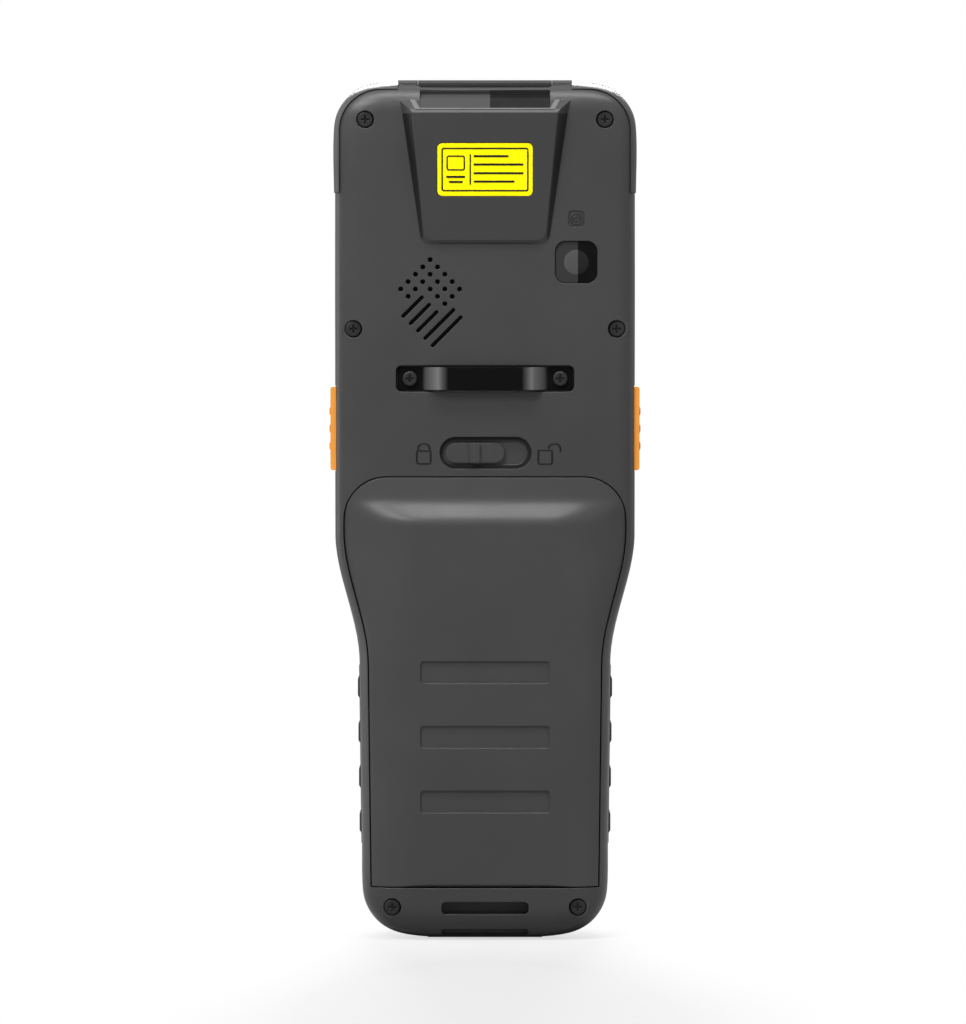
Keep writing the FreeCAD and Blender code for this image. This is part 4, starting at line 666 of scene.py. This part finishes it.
# Painted shade: a dark strip along the hood's foot.
foot_shade = slab(rounded_outline(0.0, HOOD_LOW_Z + 0.2, 22.0, 0.26, 0.1, 3), BACK_Y - 0.2, BACK_Y)
piece("hood_foot_shade", foot_shade, painted_groove_shade, "housing", smooth=False)
print("lip strips", len(strips))

# %% [markdown]
# ## Latch groove and padlock signs
#
# A groove runs round the latch, with a dark ring of painted shade in it, and a closed and an open padlock beside
# it say which way it locks. The signs are moulded ridges a fifth of a millimetre high, their colour painted darker
# as painted shade. A print would lie flat, so each sign is a thin rounded rail that follows the padlock's body and
# its shackle.

# %% Latch signs
LATCH_Z = 116.3
GROOVE_TOP, GROOVE_FLOOR = 0.66, 0.72
SIGN_SUNK, SIGN_RADIUS = 0.02, 0.22
SIGN_CORNER = 0.45

# A dark ring of painted shade lies in the groove round the latch.
groove = band(rounded_outline(0.15, LATCH_Z, 21.86, 7.56, 3.77, 12),
              rounded_outline(-0.05, LATCH_Z, 20.4, 5.9, 2.94, 12), BACK_Y + GROOVE_TOP, BACK_Y + GROOVE_FLOOR)
piece("latch_groove_shade", groove, painted_groove_shade, "housing", smooth=False)


def arc(cx, cz, r, start, end, steps=14):
    """Points of an arc, with its ends in degrees."""
    turns = [math.radians(start + (end - start) * i / steps) for i in range(steps + 1)]
    return [(cx + r * math.cos(turn), cz + r * math.sin(turn)) for turn in turns]


def sign_rail(points, closed=False):
    return rail([(x, BACK_Y + SIGN_SUNK, z) for x, z in points], SIGN_RADIUS, closed)


# Painted shade: the signs' colour is much darker than the housing's, for the shaded side of each ridge.
sign_painted_shade = moulded("sign plastic with painted shade", (0.007, 0.007, 0.0072), 0.3, 0.25, 0.004, 0.15, 0.2, 0.2)
closed_lock = joined([
    sign_rail(rounded_outline(-14.6, 115.35, 3.3, 3.1, SIGN_CORNER, 4), True),
    sign_rail([(-16.0, 116.9)] + arc(-14.6, 117.25, 1.4, 180, 0) + [(-13.2, 116.9)]),
], "closed_lock")
piece("padlock_closed_sign", closed_lock, sign_painted_shade, "housing")
open_lock = joined([
    sign_rail(rounded_outline(14.35, 115.4, 3.3, 3.3, SIGN_CORNER, 4), True),
    sign_rail([(15.1, 117.05)] + arc(16.55, 117.15, 1.45, 170, -25)),
], "open_lock")
piece("padlock_open_sign", open_lock, sign_painted_shade, "housing")
print("padlock faces", len(closed_lock.polygons), len(open_lock.polygons))

# %% [markdown]
# ## Camera lens and flash rings
#
# Behind the camera window sits a round lens, and the flash diffuser is a rounded square with rings like ripples.
# Both are turned shapes: a profile spun round an axis that points out of the back. Here the ring of points is
# written out, which keeps a point on the axis as a single one.

# %% Turned shapes
CAMERA_X, CAMERA_Z, FLASH_Z = 21.7, 161.7, 172.0
ON_AXIS = 1e-6


def turned(profile, cx, cz, steps=48):
    """Spins (radius, y) points in millimetres about an axis along Y."""
    shape = bmesh.new()
    rings = []
    for r, y in profile:
        if r < ON_AXIS:
            rings.append([shape.verts.new((cx * MM, y * MM, cz * MM))])
            continue
        turns = [2 * math.pi * i / steps for i in range(steps)]
        rings.append([shape.verts.new(((cx + r * math.cos(turn)) * MM, y * MM, (cz + r * math.sin(turn)) * MM))
                      for turn in turns])
    for a, b in zip(rings, rings[1:]):
        for i in range(steps):
            j = (i + 1) % steps
            corners = []
            for v in (a[i % len(a)], a[j % len(a)], b[j % len(b)], b[i % len(b)]):
                if v not in corners:
                    corners.append(v)
            if len(corners) > 2:
                shape.faces.new(corners)
    return mesh_from(shape, "turned")


print("turning on axes at", CAMERA_X, CAMERA_Z, FLASH_Z)

# %% Lens and rings
GLASS_Y = BACK_Y + 0.4
RING_COUNT, RING_FIRST, RING_STEP = 2, 0.62, 0.66
RING_FOOT, RING_CREST = 0.2, 0.08
RING_LOW_Y, RING_HIGH_Y = BACK_Y + 0.12, BACK_Y - 0.02

dome = ((0.0, -0.12), (1.0, -0.115), (2.0, -0.095), (2.75, -0.06), (2.93, -0.02), (2.93, 0.1), (0.0, 0.1))
lens = turned([(r, GLASS_Y + y) for r, y in dome], CAMERA_X, CAMERA_Z)
piece("camera_lens", lens, lens_painted_reflection, "housing")

ripples = []
for ring in range(RING_COUNT):
    middle = RING_FIRST + RING_STEP * ring
    foot = (middle - RING_FOOT, RING_LOW_Y)
    ripples.append(turned([foot, (middle - RING_CREST, RING_HIGH_Y), (middle + RING_CREST, RING_HIGH_Y),
                           (middle + RING_FOOT, RING_LOW_Y), foot], CAMERA_X, FLASH_Z))
piece("flash_rings", joined(ripples, "flash_rings"), finishes["flash_plastic"], "housing")
print("lens faces", len(lens.polygons), "flash rings", len(ripples))

# %% [markdown]
# ## Ridges on the rubber corners
#
# Fine ribs cross the top of each rubber corner. They repeat along a path, which is what Geometry Nodes are for:
# the path is sampled into points, a rib is placed at each, and the result is realised as one mesh. The tree's
# inputs carry the rib's sizes, so a coarser or a finer comb needs no new tree.

# %% Rib tree
RIB_SIZES = (("Rib wide", 0.34), ("Rib high", 0.3), ("Rib long", 10.5), ("Spacing", 0.72))


def ridge_tree():
    """Geometry Nodes that set a block at even steps along a path, turned with it."""
    tree = bpy.data.node_groups.new("ribs along a path", "GeometryNodeTree")
    face = tree.interface
    face.new_socket("Path", in_out="INPUT", socket_type="NodeSocketGeometry")
    for label, size in RIB_SIZES:
        face.new_socket(label, in_out="INPUT", socket_type="NodeSocketFloat").default_value = size * MM
    face.new_socket("Finish", in_out="INPUT", socket_type="NodeSocketMaterial")
    face.new_socket("Ribs", in_out="OUTPUT", socket_type="NodeSocketGeometry")
    node, join = tree.nodes.new, tree.links.new
    source, sink = node("NodeGroupInput"), node("NodeGroupOutput")
    sample = node("GeometryNodeResampleCurve")
    sample.mode = "LENGTH"
    join(source.outputs["Path"], sample.inputs["Curve"])
    join(source.outputs["Spacing"], sample.inputs["Length"])
    size = node("ShaderNodeCombineXYZ")
    join(source.outputs["Rib wide"], size.inputs["X"])
    join(source.outputs["Rib long"], size.inputs["Y"])
    join(source.outputs["Rib high"], size.inputs["Z"])
    block = node("GeometryNodeMeshCube")
    join(size.outputs[0], block.inputs["Size"])
    place = node("GeometryNodeInstanceOnPoints")
    join(sample.outputs[0], place.inputs["Points"])
    join(block.outputs[0], place.inputs["Instance"])
    heading = node("GeometryNodeInputTangent")
    aim = node("FunctionNodeAlignEulerToVector")
    aim.axis = "X"
    aim.pivot_axis = "Y"
    join(heading.outputs[0], aim.inputs["Vector"])
    join(aim.outputs[0], place.inputs["Rotation"])
    real = node("GeometryNodeRealizeInstances")
    join(place.outputs[0], real.inputs[0])
    paint = node("GeometryNodeSetMaterial")
    join(real.outputs[0], paint.inputs["Geometry"])
    join(source.outputs["Finish"], paint.inputs["Material"])
    join(paint.outputs[0], sink.inputs[0])
    return tree


rib_tree = ridge_tree()
print("rib tree nodes", len(rib_tree.nodes))

# %% Corner ridges
RIDGE_Y = PARTING_Y - 1.0
RIDGE_START_X, RIDGE_START_Z = 21.2, 204.2
CORNER_X, CORNER_Z, CORNER_R = 24.8, 193.0, 11.2
CORNER_TURNS = range(4, 44, 4)


def put_ribs(holder):
    """Hangs the rib tree on a path, with the finish set by its socket's identifier."""
    modifier = holder.modifiers.new("ribs", "NODES")
    modifier.node_group = rib_tree
    sockets = {s.name: s.identifier for s in rib_tree.interface.items_tree if s.in_out == "INPUT"}
    modifier[sockets["Finish"]] = finishes["bumper_rubber"]


for side, word in ((1.0, "right"), (-1.0, "left")):
    path = [(side * RIDGE_START_X, RIDGE_Y, RIDGE_START_Z)]
    for turn in map(math.radians, CORNER_TURNS):
        path.append((side * (CORNER_X + CORNER_R * math.sin(turn)), RIDGE_Y, CORNER_Z + CORNER_R * math.cos(turn)))
    ridges = mesh_of(path_curve(path), put_ribs)
    piece("corner_ridges_" + word, ridges, finishes["bumper_rubber"], "housing", smooth=False)
    print(word, "corner faces", len(ridges.polygons))

# %% [markdown]
# ## Key legends
#
# The keys carry plain numbers. Text is made a mesh before it is placed, and each legend rides on the key that it
# is printed on, so that it sinks with it. The solids' columns were named from left to right as the back shows
# them, and a keypad is read from the front. So each row of legends runs in the opposite order to the names of the
# keys: the key called key_3 carries the 1, and the key called key_1 carries the 3.

# %% Legends
KEY_TOP_Y = PARTING_Y + 9.0
LEGEND_HIGH, LEGEND_OUT, LEGEND_BOLD = 5.2, 0.03, 0.01


def legend(text, x, z):
    """Text as a mesh that stands on a key and reads from the front."""
    words = bpy.data.curves.new("legend", "FONT")
    words.body = text
    words.size = LEGEND_HIGH * MM
    words.align_x = "CENTER"
    words.align_y = "CENTER"
    words.extrude = LEGEND_OUT * MM
    words.offset = LEGEND_BOLD * MM
    mesh = mesh_of(words)
    mesh.transform(Matrix(((-1, 0, 0, x * MM), (0, 0, 1, KEY_TOP_Y * MM), (0, 1, 0, z * MM), (0, 0, 0, 1))))
    return mesh


legend_rows = (("1", "2", "3"), ("4", "5", "6"), ("7", "8", "9"), ("star", "0", "hash"))
signs = {"star": "*", "hash": "#"}
for row in legend_rows:
    for name, key in zip(row, reversed(row)):
        low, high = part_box("key_" + key)
        middle = (low + high) / 2 / MM
        mesh = legend(signs.get(name, name), middle.x, middle.z)
        piece("legend_" + name, mesh, white_ink, "key_" + key + "_body", smooth=False)
    print("legends, as read from the front:", " ".join(row))

# %% [markdown]
# ## A white world
#
# The photograph is a studio shot on white. A white world would also flood the terminal with light, so the rays
# are told apart: those that the eye, a reflection or clear glass sends out see full white, and the light that
# falls on the object is weaker.

# %% World
WORLD_ON_OBJECT, WORLD_SEEN = 0.3, 1.0

world = bpy.data.worlds.new("studio")
bpy.context.scene.world = world
world.use_nodes = True
sky = world.node_tree
sky.nodes.clear()
rays = sky.nodes.new("ShaderNodeLightPath")
seen = rays.outputs["Is Camera Ray"]
for ray in ("Is Transmission Ray", "Is Glossy Ray"):
    either = sky.nodes.new("ShaderNodeMath")
    either.operation = "MAXIMUM"
    sky.links.new(seen, either.inputs[0])
    sky.links.new(rays.outputs[ray], either.inputs[1])
    seen = either.outputs[0]
strength = sky.nodes.new("ShaderNodeMapRange")
sky.links.new(seen, strength.inputs["Value"])
strength.inputs["To Min"].default_value = WORLD_ON_OBJECT
strength.inputs["To Max"].default_value = WORLD_SEEN
light = sky.nodes.new("ShaderNodeBackground")
light.inputs["Color"].default_value = (1.0, 1.0, 1.0, 1.0)
sky.links.new(strength.outputs[0], light.inputs["Strength"])
sky.links.new(light.outputs[0], sky.nodes.new("ShaderNodeOutputWorld").inputs["Surface"])
print("world nodes", len(sky.nodes))

# %% [markdown]
# ## Lamps
#
# A soft key stands high on the left, with a weak fill on the right. The top lamp draws the bright line along the
# battery door's upper edge, the two rim lamps draw the outline, and the back lamp throws the shadow forwards.

# %% Lamps
BODY_MIDDLE = (0.0, 0.0, 0.1)


def lamp(name, place, size, watts, aim=BODY_MIDDLE):
    """Square or oblong area lamp, turned towards a point."""
    data = bpy.data.lights.new(name, "AREA")
    data.shape = "RECTANGLE"
    data.size, data.size_y = size
    data.energy = watts
    thing = bpy.data.objects.new(name, data)
    bpy.context.scene.collection.objects.link(thing)
    thing.location = place
    thing.rotation_euler = (Vector(aim) - Vector(place)).to_track_quat("-Z", "Y").to_euler()


lamp("key lamp", (-0.42, -0.62, 0.72), (0.3, 0.3), 7.0)
lamp("fill lamp", (0.55, -1.0, 0.35), (0.5, 0.7), 0.7)
lamp("top lamp", (0.0, -0.22, 0.75), (0.6, 0.16), 5.0, (0.0, 0.0, 0.16))
lamp("left rim lamp", (-0.5, 0.12, 0.25), (0.12, 0.6), 1.1)
lamp("right rim lamp", (0.5, 0.12, 0.25), (0.12, 0.6), 0.3)
lamp("back lamp", (0.0, 0.62, 0.5), (0.34, 0.2), 9.0, (0.0, -0.1, 0.0))
print("lamps", len(bpy.data.lights))

# %% [markdown]
# ## A floor that is white but for the shadow
#
# The floor takes real light only in a soft patch in front of the foot, where the shadow falls. Further out it
# glows as white as the world behind it, so no horizon shows. The patch is found from the floor's own
# coordinates, so it stays under the terminal from every side.

# %% Floor
FLOOR_LIGHT = 0.13
FLOOR_HALF = 3.0
PATCH_Y, PATCH_LONG, PATCH_WIDE = -0.16, 0.19, 0.075


def floor_finish():
    """Pale floor inside the patch, white beyond it."""
    graph = Graph("pale floor")
    place = graph.axes()
    along = graph.math("DIVIDE", graph.math("SUBTRACT", place["Y"], PATCH_Y), PATCH_LONG)
    across = graph.math("DIVIDE", place["X"], PATCH_WIDE)
    radius = graph.math("SQRT", graph.math("ADD", graph.math("MULTIPLY", along, along),
                                           graph.math("MULTIPLY", across, across)))
    lit = graph.ramp(radius, ((0.55, (0.0, 0.0, 0.0)), (1.0, (1.0, 1.0, 1.0))))
    cloud = graph.noise(6.0, 2.0, 0.5)
    tone = graph.ramp(cloud, ((0.3, (0.4, 0.4, 0.4)), (0.7, (0.41, 0.41, 0.41))))
    plain = graph.add("ShaderNodeBsdfDiffuse", None, Color=tone, Roughness=0.3)
    camera_ray = graph.add("ShaderNodeLightPath").outputs["Is Camera Ray"]
    glow = graph.add("ShaderNodeEmission", None, Strength=graph.math("MULTIPLY", camera_ray, FLOOR_LIGHT))
    both = graph.add("ShaderNodeAddShader", None, i0=plain.outputs[0], i1=glow.outputs[0])
    white = graph.add("ShaderNodeEmission", None, Strength=1.0)
    share = graph.math("MULTIPLY", lit, camera_ray)
    final = graph.add("ShaderNodeMixShader", None, i0=share, i1=both.outputs[0], i2=white.outputs[0])
    graph.tree.links.new(final.outputs[0], graph.out.inputs["Surface"])
    return graph.material


floor_mesh = bpy.data.meshes.new("floor")
floor_corners = [(x * FLOOR_HALF, y * FLOOR_HALF, 0.0) for x, y in ((-1, -1), (1, -1), (1, 1), (-1, 1))]
floor_mesh.from_pydata(floor_corners, [], [(0, 1, 2, 3)])
floor_mesh.materials.append(floor_finish())
floor = bpy.data.objects.new("floor", floor_mesh)
bpy.context.scene.collection.objects.link(floor)
bpy.context.scene.view_settings.view_transform = "Standard"
print("floor", 2 * FLOOR_HALF, "m wide, lit patch", 2 * PATCH_WIDE, "m wide")
